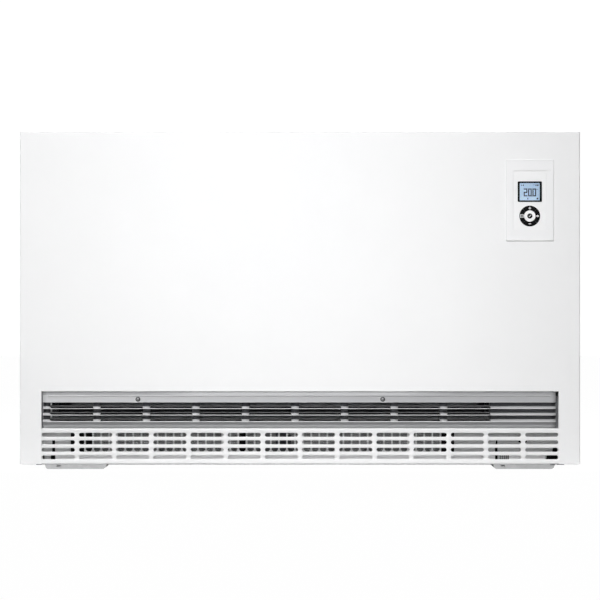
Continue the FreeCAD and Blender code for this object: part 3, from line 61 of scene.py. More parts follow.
def finish(name, fixed):
    """A new material, its node tree and its shader with the values that are the same all over."""
    material = bpy.data.materials.new(name)
    material.use_nodes = True
    shader = material.node_tree.nodes["Principled BSDF"]
    for label, value in fixed.items():
        shader.inputs[label].default_value = value
    return material, material.node_tree, shader


def feed(tree, shader, **sources):
    """Link colour, gloss, relief and the like into the shader."""
    labels = {"colour": "Base Color", "gloss": "Roughness", "relief": "Normal", "cover": "Alpha",
              "glow": "Emission Color"}
    for name, source in sources.items():
        tree.links.new(source, shader.inputs[labels[name]])


def blend(tree, mask, dark, light):
    """A colour between two, by a mask."""
    mixed = node(tree, "ShaderNodeMix", {0: mask, 6: (*dark, 1.0), 7: (*light, 1.0)}, data_type="RGBA")
    return mixed.outputs[2]


def ramp(tree, value, start, stop, low=0.0, high=1.0):
    """A number that goes from low to high while a value goes from start to stop."""
    limits = {"From Min": start, "From Max": stop, "To Min": low, "To Max": high}
    return node(tree, "ShaderNodeMapRange", {"Value": value, **limits}).outputs[0]


def between(tree, mask, low, high):
    """A number between two, by a mask."""
    return ramp(tree, mask, 0.0, 1.0, low, high)


def maths(tree, operation, *values):
    """A sum on numbers that change over the surface."""
    return node(tree, "ShaderNodeMath", dict(enumerate(values)), operation=operation).outputs[0]


def own_place(tree):
    """Where a point lies in the object's own frame."""
    return node(tree, "ShaderNodeTexCoord").outputs["Object"]


def raised(tree, height, strength, depth):
    """A relief for the light, of a mask and a depth in metres."""
    bump = node(tree, "ShaderNodeBump", {"Strength": strength, "Distance": depth, "Height": height})
    return bump.outputs[0]


def effect(name, inputs, outputs):
    """An empty shader node group for an effect that several finishes share, with its end nodes."""
    group = bpy.data.node_groups.new(name, "ShaderNodeTree")
    for label, value in inputs.items():
        socket = group.interface.new_socket(label, in_out="INPUT", socket_type="NodeSocketFloat")
        socket.default_value = value
    for label in outputs:
        group.interface.new_socket(label, in_out="OUTPUT", socket_type="NodeSocketFloat")
    return group, group.nodes.new("NodeGroupInput"), group.nodes.new("NodeGroupOutput")


def dress(names, material):
    """Give CAD nodes a finish."""
    for name in names:
        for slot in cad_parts[name].material_slots:
            slot.material = material


grain, given, out = effect("fine_grain", {"Grain Scale": 800.0, "Patch Scale": 9.0}, ["Height", "Patch"])
place = own_place(grain)
fine = node(grain, "ShaderNodeTexNoise", {
    "Vector": place, "Scale": given.outputs["Grain Scale"], "Detail": 3.0})
broad = node(grain, "ShaderNodeTexNoise", {
    "Vector": place, "Scale": given.outputs["Patch Scale"], "Detail": 5.0, "Roughness": 0.6})
grain.links.new(fine.outputs[0], out.inputs["Height"])
grain.links.new(ramp(grain, broad.outputs[0], 0.35, 0.65), out.inputs["Patch"])


def grained(tree, grain_scale, patch_scale):
    """The fine grain in a finish: its raised height and its soft patches."""
    scales = {"Grain Scale": grain_scale, "Patch Scale": patch_scale}
    return node(tree, "ShaderNodeGroup", scales, node_tree=grain).outputs


def galvanised(name, dark, light, crystal, metallic):
    """Zinc-dipped sheet: spangle in tone and gloss, under soft handling marks."""
    material, tree, shader = finish(name, {"Metallic": metallic})
    skin = grained(tree, 1500.0, 14.0)
    spangle = node(tree, "ShaderNodeTexVoronoi", {"Vector": own_place(tree), "Scale": crystal})
    tone = node(tree, "ShaderNodeSeparateColor", {"Color": spangle.outputs["Color"]}).outputs[0]
    marked = maths(tree, "MULTIPLY", tone, skin["Patch"])
    feed(tree, shader, colour=blend(tree, tone, dark, light), gloss=between(tree, marked, 0.34, 0.52),
         relief=raised(tree, skin["Height"], 0.12, 0.0001))
    return material


zinc_sheet = galvanised("zinc_sheet", (0.44, 0.445, 0.455), (0.6, 0.605, 0.615), 120.0, 0.85)
dress(["inner_front_shield", "core_tray", "left_core_support", "right_core_support", "fan_housing",
       "switchgear_plate", "rear_panel"], zinc_sheet)

# The floor pan's sheet is a near-white copy of the zinc: painted light, where light through the intake slots
# falls on it.
zinc_sheet_painted_light = galvanised("zinc_sheet_painted_light", (0.9, 0.902, 0.91), (0.96, 0.962, 0.97), 90.0, 0.0)
dress(["base_tray"], zinc_sheet_painted_light)

# The bolts that hold the feet, and the shaft of the fan: cold-headed and drawn steel, bright zinc.
# Drawing leaves fine lines along the bar.
brushed, given, out = effect(
    "drawn_lines", {"Across X": 60.0, "Across Y": 60.0, "Across Z": 60.0}, ["Height", "Tone"])
stretch = node(brushed, "ShaderNodeCombineXYZ", {axis: given.outputs["Across " + axis] for axis in "XYZ"})
lined = node(brushed, "ShaderNodeVectorMath", {
    0: own_place(brushed), 1: stretch.outputs[0]}, operation="MULTIPLY")
lines = node(brushed, "ShaderNodeTexNoise", {"Vector": lined.outputs[0], "Scale": 1.0, "Detail": 3.0})
brushed.links.new(lines.outputs[0], out.inputs["Height"])
brushed.links.new(ramp(brushed, lines.outputs[0], 0.3, 0.7), out.inputs["Tone"])


def drawn_lines(tree, across):
    """The drawn lines in a finish: their raised height and their tone."""
    scales = {"Across " + axis: scale for axis, scale in zip("XYZ", across)}
    return node(tree, "ShaderNodeGroup", scales, node_tree=brushed).outputs


def drawn_metal(name, dark, light, rough, across, metallic=1.0):
    """Bare metal with fine lines along the way it was drawn, rolled or brushed."""
    material, tree, shader = finish(name, {"Metallic": metallic})
    skin = drawn_lines(tree, across)
    tone = skin["Tone"]
    feed(tree, shader, colour=blend(tree, tone, dark, light), gloss=between(tree, tone, *rough),
         relief=raised(tree, skin["Height"], 0.15, 0.0001))
    return material


bright_zinc = drawn_metal("bright_zinc", (0.55, 0.56, 0.57), (0.74, 0.75, 0.76), (0.22, 0.36), (40, 900, 900))
dress(["foot_bolts", "fan_shaft"], bright_zinc)

# The storage bricks: pressed and fired magnesia and iron oxide, heavy, dark and gritty.
# They stand loose in rows, with air channels through them and grooves for the elements.
material, tree, shader = finish("fired_brick", {"Specular IOR Level": 0.3})
skin = grained(tree, 420.0, 12.0)
grit = node(tree, "ShaderNodeTexVoronoi", {"Vector": own_place(tree), "Scale": 330.0}).outputs["Distance"]
speck = maths(tree, "MULTIPLY", grit, skin["Patch"])
feed(tree, shader, colour=blend(tree, speck, (0.07, 0.052, 0.042), (0.24, 0.18, 0.14)),
     gloss=between(tree, skin["Patch"], 0.78, 0.95), relief=raised(tree, grit, 0.5, 0.0006))
dress(["lower_bricks", "middle_bricks", "upper_bricks"], material)

# The heating elements and the core's probe: steel tube, annealed and blued by the heat of the store.
# Each element is bent to a hairpin and lies in the grooves between two layers of bricks.
heat_blued = drawn_metal(
    "heat_blued_tube", (0.09, 0.085, 0.1), (0.23, 0.2, 0.19), (0.4, 0.62), (12, 260, 260), 0.9)
dress(["lower_element", "middle_element", "upper_element", "core_sensor"], heat_blued)

# The insulation: slabs of pressed mineral fibre, off-white, soft and felted, cut to fit round the store.
# The casing holds them in place, and their long fibres lie flat along the faces.
material, tree, shader = finish("fibre_slab", {"Specular IOR Level": 0.1, "Sheen Weight": 0.15})
skin = grained(tree, 260.0, 24.0)
felt = drawn_lines(tree, (90.0, 700.0, 700.0))
fibre = maths(tree, "MULTIPLY", felt["Tone"], skin["Patch"])
feed(tree, shader, colour=blend(tree, fibre, (0.72, 0.69, 0.61), (0.86, 0.84, 0.78)),
     gloss=between(tree, skin["Patch"], 0.85, 1.0), relief=raised(tree, felt["Height"], 0.6, 0.0008))
dress(["front_insulation", "rear_insulation", "left_insulation", "right_insulation",
       "base_insulation", "top_insulation"], material)

# The cross-flow fan: rotors with rolled aluminium blades crimped in end discs, a stacked-plate motor
# between them, and sintered bronze bushes pressed in the end plates.
rolled_aluminium = drawn_metal(
    "rolled_aluminium", (0.6, 0.61, 0.62), (0.8, 0.81, 0.82), (0.26, 0.42), (30, 1200, 1200))
dress(["left_fan_rotor", "right_fan_rotor"], rolled_aluminium)
material, tree, shader = finish("stacked_plates", {"Metallic": 0.6})
skin = grained(tree, 900.0, 30.0)
plates = node(tree, "ShaderNodeTexWave", {
    "Vector": own_place(tree), "Scale": 430.0, "Distortion": 0.4}).outputs[1]
feed(tree, shader, colour=blend(tree, plates, (0.03, 0.033, 0.04), (0.11, 0.115, 0.125)),
     gloss=between(tree, skin["Patch"], 0.35, 0.6), relief=raised(tree, plates, 0.3, 0.0002))
dress(["fan_motor"], material)
material, tree, shader = finish("sintered_bronze", {"Metallic": 1.0})
skin = grained(tree, 2600.0, 160.0)
feed(tree, shader, colour=blend(tree, skin["Patch"], (0.11, 0.085, 0.06), (0.2, 0.15, 0.1)),
     gloss=between(tree, skin["Height"], 0.3, 0.6), relief=raised(tree, skin["Height"], 0.35, 0.0001))
dress(["fan_bearings"], material)


# The electrics: moulded terminal bar, limiter and its red reset button, and the board with relays.
# The mouldings have a fine spark-eroded grain; the board is green lacquer over etched copper.
def coated(name, dark, light, rough, grain_scale, relief, fixed=None, patch_scale=9.0):
    """A lacquer or a moulding: colour and gloss drift in soft patches over a fine raised grain."""
    material, tree, shader = finish(name, fixed or {})
    skin = grained(tree, grain_scale, patch_scale)
    patch = skin["Patch"]
    feed(tree, shader, colour=blend(tree, patch, dark, light), gloss=between(tree, patch, *rough),
         relief=raised(tree, skin["Height"], relief, 0.0002))
    return material


grey_moulding = coated("grey_moulding", (0.1, 0.104, 0.11), (0.135, 0.14, 0.148), (0.45, 0.58), 2200.0, 0.12)
dress(["terminal_block", "limiter", "control_back_cover"], grey_moulding)
red_moulding = coated("red_moulding", (0.34, 0.022, 0.016), (0.42, 0.03, 0.02), (0.28, 0.4), 2200.0, 0.08)
dress(["limiter_reset_button"], red_moulding)
material, tree, shader = finish("circuit_board", {"Coat Weight": 0.3, "Coat Roughness": 0.2})
skin = grained(tree, 1800.0, 60.0)
upright = node(tree, "ShaderNodeMapping", {
    "Vector": own_place(tree), "Rotation": (math.pi / 2, 0.0, 0.0)})
tracks = node(tree, "ShaderNodeTexBrick", {
    "Vector": upright.outputs[0], "Scale": 90.0, "Mortar Size": 0.06, "Mortar Smooth": 0.2,
    "Color1": (0.012, 0.085, 0.034, 1.0), "Color2": (0.016, 0.1, 0.042, 1.0),
    "Mortar": (0.04, 0.17, 0.06, 1.0)})
feed(tree, shader, colour=tracks.outputs[0], gloss=between(tree, skin["Patch"], 0.3, 0.45),
     relief=raised(tree, tracks.outputs[1], 0.2, 0.0001))
dress(["power_board", "control_board"], material)

# The cable bush in the rear panel and the mat behind the keys: moulded black rubber.
# The bush snaps into its hole, and the mat is clamped between the keys and their board.
black_rubber = coated("black_rubber", (0.012, 0.012, 0.012), (0.024, 0.024, 0.025), (0.6, 0.8), 1500.0, 0.2)
dress(["cable_grommet", "key_mat"], black_rubber)

# The casing: front, sides and lid folded from steel sheet and powder-coated white.
# The powder flows out with a faint orange peel, smooth and half-gloss.
white_powder = coated(
    "white_powder", (0.86, 0.862, 0.868), (0.885, 0.887, 0.892), (0.4, 0.48), 620.0, 0.05, patch_scale=3.0)
dress(["front_panel", "left_side_panel", "right_side_panel", "top_panel"], white_powder)


# The casing screws: pan-head, cross-recess, zinc-plated, through the rear flanges of sides and lid.
# Each head is upset from wire and its recess is punched.
def piece(name, bm, material, body="cabinet"):
    """A finished mesh as an object that rides on a body, smooth but for its real edges."""
    mesh = bpy.data.meshes.new(name)
    bm.to_mesh(mesh)
    bm.free()
    mesh.materials.append(material)
    mesh.shade_smooth()
    mesh.set_sharp_from_angle(angle=math.radians(32))
    made = bpy.data.objects.new(name, mesh)
    bpy.context.scene.collection.objects.link(made)
    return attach(made, body)


def verts_of(geometry):
    return [item for item in geometry if isinstance(item, bmesh.types.BMVert)]


def edges_of(geometry):
    return [item for item in geometry if isinstance(item, bmesh.types.BMEdge)]


def faces_of(geometry):
    return [item for item in geometry if isinstance(item, bmesh.types.BMFace)]


def screw_heads(radius, height, places):
    """Domed cross-recess heads that stand on +Z at the origin, put at each place."""
    head = bmesh.new()
    dome = [(radius, 0.0), (radius, 0.3 * height), (0.86 * radius, 0.72 * height),
            (0.5 * radius, 0.95 * height), (0.0, height)]
    corners = [head.verts.new((x, 0.0, z)) for x, z in dome]
    for pair in zip(corners, corners[1:]):
        head.edges.new(pair)
    bmesh.ops.spin(head, geom=head.verts[:] + head.edges[:], cent=(0, 0, 0), axis=(0, 0, 1),
                   angle=2 * math.pi, steps=20, use_merge=True)
    bmesh.ops.remove_doubles(head, verts=head.verts[:], dist=1e-6)
    bmesh.ops.holes_fill(head, edges=head.edges[:])
    bmesh.ops.recalc_face_normals(head, faces=head.faces[:])
    arm = 0.58 * radius
    half = 0.13 * radius
    for axis in ((1, 0, 0), (0, 1, 0)):
        for offset in (-arm, -half, half, arm):
            bmesh.ops.bisect_plane(
                head, geom=head.verts[:] + head.edges[:] + head.faces[:], dist=1e-7,
                plane_co=Vector(axis) * offset, plane_no=axis)

    def in_recess(face):
        middle = face.calc_center_median()
        x, y = abs(middle.x), abs(middle.y)
        return face.normal.z > 0.3 and min(x, y) < half and max(x, y) < arm

    pressed = bmesh.ops.extrude_face_region(head, geom=[face for face in head.faces if in_recess(face)])
    bmesh.ops.translate(head, verts=verts_of(pressed["geom"]), vec=(0, 0, -0.6 * height))
    bmesh.ops.recalc_face_normals(head, faces=head.faces[:])
    pattern = bpy.data.meshes.new("screw_pattern")
    head.to_mesh(pattern)
    head.free()
    heads = bmesh.new()
    for spot in places:
        before = set(heads.verts)
        heads.from_mesh(pattern)
        bmesh.ops.transform(heads, matrix=spot, verts=[vert for vert in heads.verts if vert not in before])
    bpy.data.meshes.remove(pattern)
    return heads


plated_head = drawn_metal("plated_head", (0.5, 0.505, 0.51), (0.7, 0.705, 0.71), (0.25, 0.4), (500, 500, 60))
low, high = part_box("left_side_panel")
rear_y = high.y
facing_back = Matrix.Rotation(math.radians(-90), 4, "X")
side_x, lid_z = low.x + 0.0085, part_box("top_panel")[1].z - 0.012
spots = [(x, z) for x in (side_x, -side_x) for z in (0.06, 0.33, 0.6)]
spots += [(x, lid_z) for x in (-0.42, -0.14, 0.14, 0.42)]
places = [Matrix.Translation((x, rear_y, z)) @ facing_back for x, z in spots]
casing_screws = piece("casing_screws", screw_heads(0.0042, 0.0019, places), plated_head)


# The rolled edge of the front panel above the grille: the same white sheet, turned over on itself.
# It is rolled before the panel is coated, so the powder covers it too.
def block(bm, x0, x1, y0, y1, z0, z1):
    """A box between two corners."""
    made = bmesh.ops.create_cube(bm, size=1.0)["verts"]
    bmesh.ops.scale(bm, verts=made, vec=(x1 - x0, y1 - y0, z1 - z0))
    bmesh.ops.translate(bm, verts=made, vec=((x0 + x1) / 2, (y0 + y1) / 2, (z0 + z1) / 2))
    return made


low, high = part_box("outlet_grille")
panel_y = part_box("front_panel")[0].y
bm = bmesh.new()
block(bm, low.x, high.x, panel_y + 0.00002, panel_y + 0.00222, high.z - 0.0004, high.z + 0.0006)
bmesh.ops.bevel(bm, geom=bm.edges[:], offset=0.0002, offset_type="OFFSET", segments=2, profile=0.5,
                affect="EDGES", material=-1)
piece("rolled_edge", bm, white_powder)


# The fluff filter: two grey zinc-coated frames end to end, punched with upright windows eased at the foot,
# and behind them wire gauze in panels, woven from fine wire and clipped on, its lower part painted dark as
# painted shade.
def punched_plate(outline, windows, y0, y1):
    """A flat plate of an outline of (x, z) corners with windows punched through it."""
    bm = bmesh.new()
    edges = []
    for loop in [outline] + windows:
        corners = [bm.verts.new((x, y0, z)) for x, z in loop]
        edges += [bm.edges.new(pair) for pair in zip(corners, corners[1:] + corners[:1])]
    bmesh.ops.triangle_fill(bm, use_beauty=True, edges=edges)
    bmesh.ops.recalc_face_normals(bm, faces=bm.faces[:])
    grown = bmesh.ops.extrude_face_region(bm, geom=bm.faces[:], use_keep_orig=True)
    bmesh.ops.translate(bm, verts=verts_of(grown["geom"]), vec=(0, y1 - y0, 0))
    bmesh.ops.recalc_face_normals(bm, faces=bm.faces[:])
    return bm


def window(x0, x1, z0, z1):
    """The four corners of an upright oblong."""
    return [(x0, z0), (x1, z0), (x1, z1), (x0, z1)]


def own_axis(tree, axis):
    """How far a point lies along one axis of the object's own frame."""
    return node(tree, "ShaderNodeSeparateXYZ", {"Vector": own_place(tree)}).outputs[axis]


def bands(tree, scale):
    """Bands that run upright and across, as the wires of a mesh do."""
    settings = {"Vector": own_place(tree), "Scale": scale}
    return [node(tree, "ShaderNodeTexWave", settings, bands_direction=axis).outputs[1] for axis in "XZ"]


filter_zinc = galvanised("filter_zinc", (0.64, 0.644, 0.65), (0.7, 0.704, 0.71), 160.0, 0.05)
low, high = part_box("filter_frame")
bars = [-0.43505 + 0.016323 * k for k in range(20)] + [-0.10807 + 0.016337 * k for k in range(25)]
half, ease, sill, top = 0.00175, 0.0032, 0.0345, high.z - 0.004
punched = []
for left, right in zip(bars, bars[1:]):
    x0, x1 = left + half, right - half
    punched.append([(x0, sill + ease), (x0 + ease, sill), (x1 - ease, sill), (x1, sill + ease),
                    (x1, top), (x0, top)])
outline = window(bars[0] - half, bars[-1] + half, low.z, high.z)
sieve = piece("filter_plate", punched_plate(outline, punched, low.y, high.y), filter_zinc)
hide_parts("filter_frame")
material, tree, shader = finish("woven_gauze", {"Metallic": 0.1})
skin = grained(tree, 900.0, 40.0)
wires = maths(tree, "MAXIMUM", *bands(tree, 190.0))
# The gauze is painted dark below the upper slot rows: painted shade.
above_painted_shade = ramp(tree, own_axis(tree, "Z"), 0.04, 0.047, 0.0, 0.9)
dusty = maths(tree, "MULTIPLY", skin["Patch"], 0.25)
clear = maths(tree, "SUBTRACT", above_painted_shade, dusty)
feed(tree, shader, colour=blend(tree, clear, (0.05, 0.0505, 0.052), (0.26, 0.262, 0.266)),
     gloss=between(tree, skin["Patch"], 0.4, 0.6), cover=ramp(tree, wires, 0.45, 0.6),
     relief=raised(tree, wires, 0.4, 0.0002))
low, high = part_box("filter_gauze")
bm = bmesh.new()
for x0, x1 in ((-0.4186, -0.1245), (-0.1073, -0.049), (-0.0184, 0.2844)):
    block(bm, x0, x1, low.y, high.y, low.z, high.z)
gauze = piece("gauze_panels", bm, material)
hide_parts("filter_gauze")


# The plates that close the base at both ends of the filter: grey zinc-coated sheet, punched with a
# sliding slot, a spring tab and a cut-off corner, and hung on the core supports.
left_zinc = galvanised("left_cover_zinc", (0.56, 0.564, 0.57), (0.62, 0.624, 0.63), 140.0, 0.05)
low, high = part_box("left_base_cover")
outline = [(low.x, low.z), (-0.504, low.z), (-0.504, 0.03), (-0.5015, 0.0335), (-0.5015, 0.0618),
           (-0.4955, 0.0618), (-0.4955, low.z), (high.x, low.z), (high.x, high.z), (low.x, high.z)]
tab = [(-0.5195, 0.0165), (-0.506, 0.0165), (-0.506, 0.0185), (-0.5175, 0.0185), (-0.5175, 0.0285),
       (-0.506, 0.0285), (-0.506, 0.0305), (-0.5195, 0.0305)]
cover = piece("left_cover_plate", punched_plate(outline, [tab], low.y, high.y), left_zinc)
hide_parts("left_base_cover")

# The right plate's zinc is a darker copy of the left plate's: painted shade, where less light reaches it.
right_zinc_painted_shade = galvanised("right_cover_zinc_painted_shade", (0.43, 0.434, 0.44), (0.49, 0.494, 0.5), 140.0, 0.05)
low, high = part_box("right_base_cover")
outline = [(low.x, low.z), (0.394, low.z), (0.3945, 0.044), (0.397, 0.058), (0.3995, 0.058), (0.4, low.z),
           (0.4965, low.z), (0.499, 0.0285), (0.5105, 0.034), (0.5115, 0.0425), (high.x, 0.046),
           (high.x, high.z), (low.x, high.z)]
comb = [window(0.4045 + 0.004 * k, 0.406 + 0.004 * k, 0.0175, 0.0295) for k in range(5)]
corners = [[(0.44, 0.0545), (0.447, 0.0515), (0.447, 0.0575)],
           [(0.4555, 0.0515), (0.46, 0.0545), (0.4555, 0.0575)]]
cover = piece("right_cover_plate", punched_plate(outline, comb + corners, low.y, high.y), right_zinc_painted_shade)
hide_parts("right_base_cover")

# The draught seals: strips of black foam behind the cover plates, the filter's joint and its open ends.
# They are cut from sheet and stuck on, and their black shows through every slot of the plates as painted
# shade.
black_foam_painted_shade = coated("black_foam_painted_shade", (0.004, 0.004, 0.004), (0.01, 0.01, 0.01), (0.85, 1.0), 700.0, 0.5,
                    {"Specular IOR Level": 0.05})
bm = bmesh.new()
for x0, x1 in ((-0.5205, -0.4188), (-0.124, -0.1078), (0.2848, 0.5205)):
    block(bm, x0, x1, high.y + 0.0015, high.y + 0.0045, 0.01025, 0.08075)
piece("draught_seals_painted_shade", bm, black_foam_painted_shade)

# The feet: trays pressed from bright zinc-coated sheet, their front walls sloped forward to the floor,
# each with a levelling slot; small dark clips beside them stand as painted shade in the gaps under the
# casing's folded ends.
foot_zinc = galvanised("foot_zinc", (0.41, 0.413, 0.42), (0.46, 0.463, 0.47), 90.0, 0.1)
front_y, slope, foot_top, foot_floor = -0.12, 0.6, 0.0098, 0.0003
outline = [(-0.0628, foot_top), (-0.0606, 0.003), (-0.0571, foot_floor),
           (0.0562, foot_floor), (0.0597, 0.003), (0.0628, foot_top)]
for name, middle, slot_x in (("left_foot", -0.4521, -0.4868), ("right_foot", 0.4521, 0.409)):
    level_slot = window(slot_x - 0.0042, slot_x + 0.0042, 0.0046, 0.0082)
    bm = punched_plate([(middle + x, z) for x, z in outline], [level_slot], front_y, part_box(name)[1].y)
    for vert in bm.verts:
        if vert.co.y < 0.0:
            vert.co.y -= slope * (foot_top - vert.co.z)
    block(bm, slot_x - 0.00425, slot_x + 0.00425, -0.1125, -0.1085, 0.00455, 0.00825)
    foot = piece(name + "_pressing", bm, foot_zinc)
    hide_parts(name)
# Dark clips in the gaps under the casing's folded ends: painted shade.
bm = bmesh.new()
for x0, x1 in ((-0.532, -0.5218), (0.5045, 0.514), (0.519, 0.533)):
    block(bm, x0, x1, -0.1225, -0.1165, 0.0084, 0.01)
piece("clips_painted_shade", bm, grey_moulding)


# The intake strip: white powder-coated sheet, punched with rows of full-radius slots and folded back
# along its top and bottom; its ends tuck behind the legs of the front panel.
def slot_ring(bm, radius, length, y):
    """A ring of edges round a full-radius slot, on the upright plane at depth y."""
    turned = Matrix.Rotation(math.pi / 2, 4, "X") @ Matrix.Rotation(math.radians(10), 4, "Z")
    ring = bmesh.ops.create_circle(
        bm, cap_ends=False, radius=radius / math.cos(math.radians(10)), segments=18,
        matrix=Matrix.Translation((0, y, 0)) @ turned)["verts"]
    for side in (-1, 1):
        bmesh.ops.translate(bm, verts=[vert for vert in ring if vert.co.x * side > 0],
                            vec=(side * (length / 2 - radius), 0, 0))
    return list({edge for vert in ring for edge in vert.link_edges})


low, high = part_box("intake_grille")
sheet, fold = 0.0012, 0.002
slot_length, slot_height, rolled = 0.0665, 0.008, 0.00035
front_y, rear_y = low.y, low.y + sheet
bm = bmesh.new()
rings = []
for wider, y in ((rolled, front_y), (0.3 * rolled, front_y + 0.3 * rolled),
                 (0.0, front_y + rolled), (0.0, rear_y)):
    rings.append(slot_ring(bm, slot_height / 2 + wider, slot_length + 2 * wider, y))
for pair in zip(rings, rings[1:]):
    bmesh.ops.bridge_loops(bm, edges=pair[0] + pair[1])
pattern = bm.verts[:] + bm.edges[:] + bm.faces[:]
middle_z = (low.z + high.z + 0.0006) / 2
pitch_x, pitch_z = 0.075, 0.0151
spots = [((column - 6.5) * pitch_x, 0, middle_z + (row - 1.5) * pitch_z)
         for column in range(14) for row in range(4)]
for spot in spots[1:]:
    copy = bmesh.ops.duplicate(bm, geom=pattern)
    bmesh.ops.translate(bm, verts=verts_of(copy["geom"]), vec=spot)
bmesh.ops.translate(bm, verts=verts_of(pattern), vec=spots[0])
rims = []
for y in (front_y, rear_y):
    slots = [edge for edge in bm.edges if all(abs(vert.co.y - y) < 1e-7 for vert in edge.verts)]
    corners = [bm.verts.new((x, y, z)) for x, z in (
        (low.x, low.z + fold), (high.x, low.z + fold), (high.x, high.z - fold), (low.x, high.z - fold))]
    outer = [bm.edges.new(pair) for pair in zip(corners, corners[1:] + corners[:1])]
    bmesh.ops.triangle_fill(bm, use_beauty=True, edges=slots + outer)
    rims.append(corners)
walls = []
for k in range(4):
    walls.append(bm.faces.new((rims[0][k], rims[0][(k + 1) % 4], rims[1][(k + 1) % 4], rims[1][k])))
for wall, z, turn in ((walls[0], low.z + fold, 1), (walls[2], high.z - fold, -1)):
    bent = bmesh.ops.spin(
        bm, geom=[wall] + list(wall.edges) + list(wall.verts), cent=(0, front_y + fold, z), axis=(1, 0, 0),
        angle=turn * math.pi / 2, steps=5)
    run = bmesh.ops.extrude_face_region(bm, geom=faces_of(bent["geom_last"]))
    bmesh.ops.translate(bm, verts=verts_of(run["geom"]), vec=(0, high.y - front_y - fold, 0))
bmesh.ops.remove_doubles(bm, verts=bm.verts[:], dist=1e-7)
bmesh.ops.recalc_face_normals(bm, faces=bm.faces[:])
# The strip's powder is a darker copy of the casing's white: painted shade, as less light reaches the low
# strip.
strip_powder_painted_shade = coated(
    "strip_powder_painted_shade", (0.82, 0.822, 0.828), (0.845, 0.847, 0.852), (0.4, 0.48), 620.0, 0.05, patch_scale=3.0)
strip = piece("intake_strip", bm, strip_powder_painted_shade)
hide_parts("intake_grille")

# The warm-air grille: one silver-lacquered sheet folded to a saw-tooth of three louvres under a beaded
# flange, with windows punched in the webs so that ribs are left; recessed plates close its two ends. Its
# lacquer is painted lighter and darker by place, as painted light and shade.
low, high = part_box("outlet_grille")
nose_y = -0.12255
wall_y, back_y = nose_y + 0.012, nose_y + 0.013
first_z, gap, nose = 0.09655, 0.01135, 0.00175
louvre_pitch = gap + nose
profile = [(nose_y + 0.0074, low.z), (nose_y + 0.0062, 0.0891), (nose_y, first_z - nose)]
for k in range(3):
    foot_z = first_z + k * louvre_pitch
    profile += [(nose_y, foot_z), (nose_y + 0.0032, foot_z + 0.0033), (wall_y, foot_z + 0.0029),
                (back_y, foot_z + gap), (nose_y, foot_z + gap)]
flange_z, flange_lip, bead_z = foot_z + gap, 0.001, 0.1456
bead_y, top_z = nose_y - 0.0013, high.z + 0.0006
profile += [(nose_y, flange_z + flange_lip), (nose_y, bead_z + 0.0003), (bead_y, bead_z + 0.0015),
            (bead_y, bead_z + 0.0034), (nose_y, bead_z + 0.0042), (nose_y + 0.0034, top_z), (-0.11175, top_z)]
bm = bmesh.new()
left_x, right_x = -0.5188, 0.5158
corners = [bm.verts.new((left_x, y, z)) for y, z in profile]
for pair in zip(corners, corners[1:]):
    bm.edges.new(pair)
bmesh.ops.bevel(bm, geom=corners[1:-1], offset=0.0004, offset_type="OFFSET", segments=3, profile=0.5,
                affect="VERTICES", material=-1)
ribs = [-0.41 + 0.1 * k for k in range(8)]
rib, flare, near = 0.00675, 0.0009, 0.00001
window_left, window_right = -0.5015, 0.3856
flat_end, bead_end = 0.0105, 0.0125
stations = [left_x, left_x + flat_end, left_x + bead_end, window_left]
for x in ribs:
    stations += [x - rib, x + rib]
stations += [window_right, right_x - bead_end, right_x - flat_end, right_x]
edges = bm.edges[:]
for x0, x1 in zip(stations, stations[1:]):
    drawn = bmesh.ops.extrude_edge_only(bm, edges=edges)
    new_verts = set(verts_of(drawn["geom"]))
    bmesh.ops.translate(bm, verts=list(new_verts), vec=(x1 - x0, 0, 0))
    edges = [edge for edge in edges_of(drawn["geom"]) if all(vert in new_verts for vert in edge.verts)]
drawn_in = (window_left - left_x - 0.0045) / (window_left - left_x)
for vert in bm.verts:
    if not left_x + bead_end - near < vert.co.x < right_x - bead_end + near:
        vert.co.y = max(vert.co.y, nose_y)
    if vert.co.y > nose_y + 0.0025 and first_z < vert.co.z < bead_z:
        for x in ribs:
            if abs(abs(vert.co.x - x) - rib) < near:
                vert.co.x += math.copysign(flare, vert.co.x - x)
        if vert.co.x < window_left + near:
            vert.co.x = left_x + (vert.co.x - left_x) * drawn_in
        if abs(vert.co.x - window_right) < near:
            vert.co.x -= 0.002


def in_window(face):
    """A part of a web that lies between two ribs, or between a rib and a closed end."""
    middle = face.calc_center_median()
    rise = (middle.z - first_z + 0.0005) % louvre_pitch - 0.0005
    in_web = middle.y > nose_y + 0.00005 and first_z < middle.z < bead_z and -0.0003 < rise < gap - 0.0003
    return in_web and window_left < middle.x < window_right and all(abs(middle.x - x) > rib for x in ribs)


bmesh.ops.delete(bm, geom=[face for face in bm.faces if in_window(face)], context="FACES")
bmesh.ops.recalc_face_normals(bm, faces=bm.faces[:])
if sum(face.normal.y * face.calc_area() for face in bm.faces) > 0:
    bmesh.ops.reverse_faces(bm, faces=bm.faces[:])
shade_slot, bead_slot, sill_slot, lip_slot = 1, 2, 3, 4
hair = 0.0002
for face in bm.faces:
    middle = face.calc_center_median()
    in_shade = middle.y > wall_y - hair or (face.normal.z < -0.9 and middle.z > first_z)
    above_nose = (middle.z - first_z + nose) % louvre_pitch
    on_nose = above_nose < nose + hair and middle.z < flange_z - flange_lip
    if middle.y < nose_y + hair and (on_nose or abs(middle.z - flange_z) < flange_lip):
        face.material_index = lip_slot
    elif middle.z < first_z - nose - 0.0003:
        face.material_index = sill_slot
    elif middle.z > bead_z + 0.004:
        face.material_index = bead_slot
    elif in_shade and middle.z < bead_z:
        face.material_index = shade_slot


def silver(name, near, far, axis, start, stop, mirrored=False):
    """Silver lacquer over sheet under a fine grain, painted paler towards one side as painted light and
    shade.
    """
    material, tree, shader = finish(name, {"Metallic": 0.1, "Specular IOR Level": 0.3})
    skin = grained(tree, 900.0, 5.0)
    along = own_axis(tree, axis)
    if mirrored:
        along = maths(tree, "ABSOLUTE", along)
    feed(tree, shader, colour=blend(tree, ramp(tree, along, start, stop), near, far),
         gloss=between(tree, skin["Patch"], 0.5, 0.6), relief=raised(tree, skin["Height"], 0.05, 0.0002))
    return material
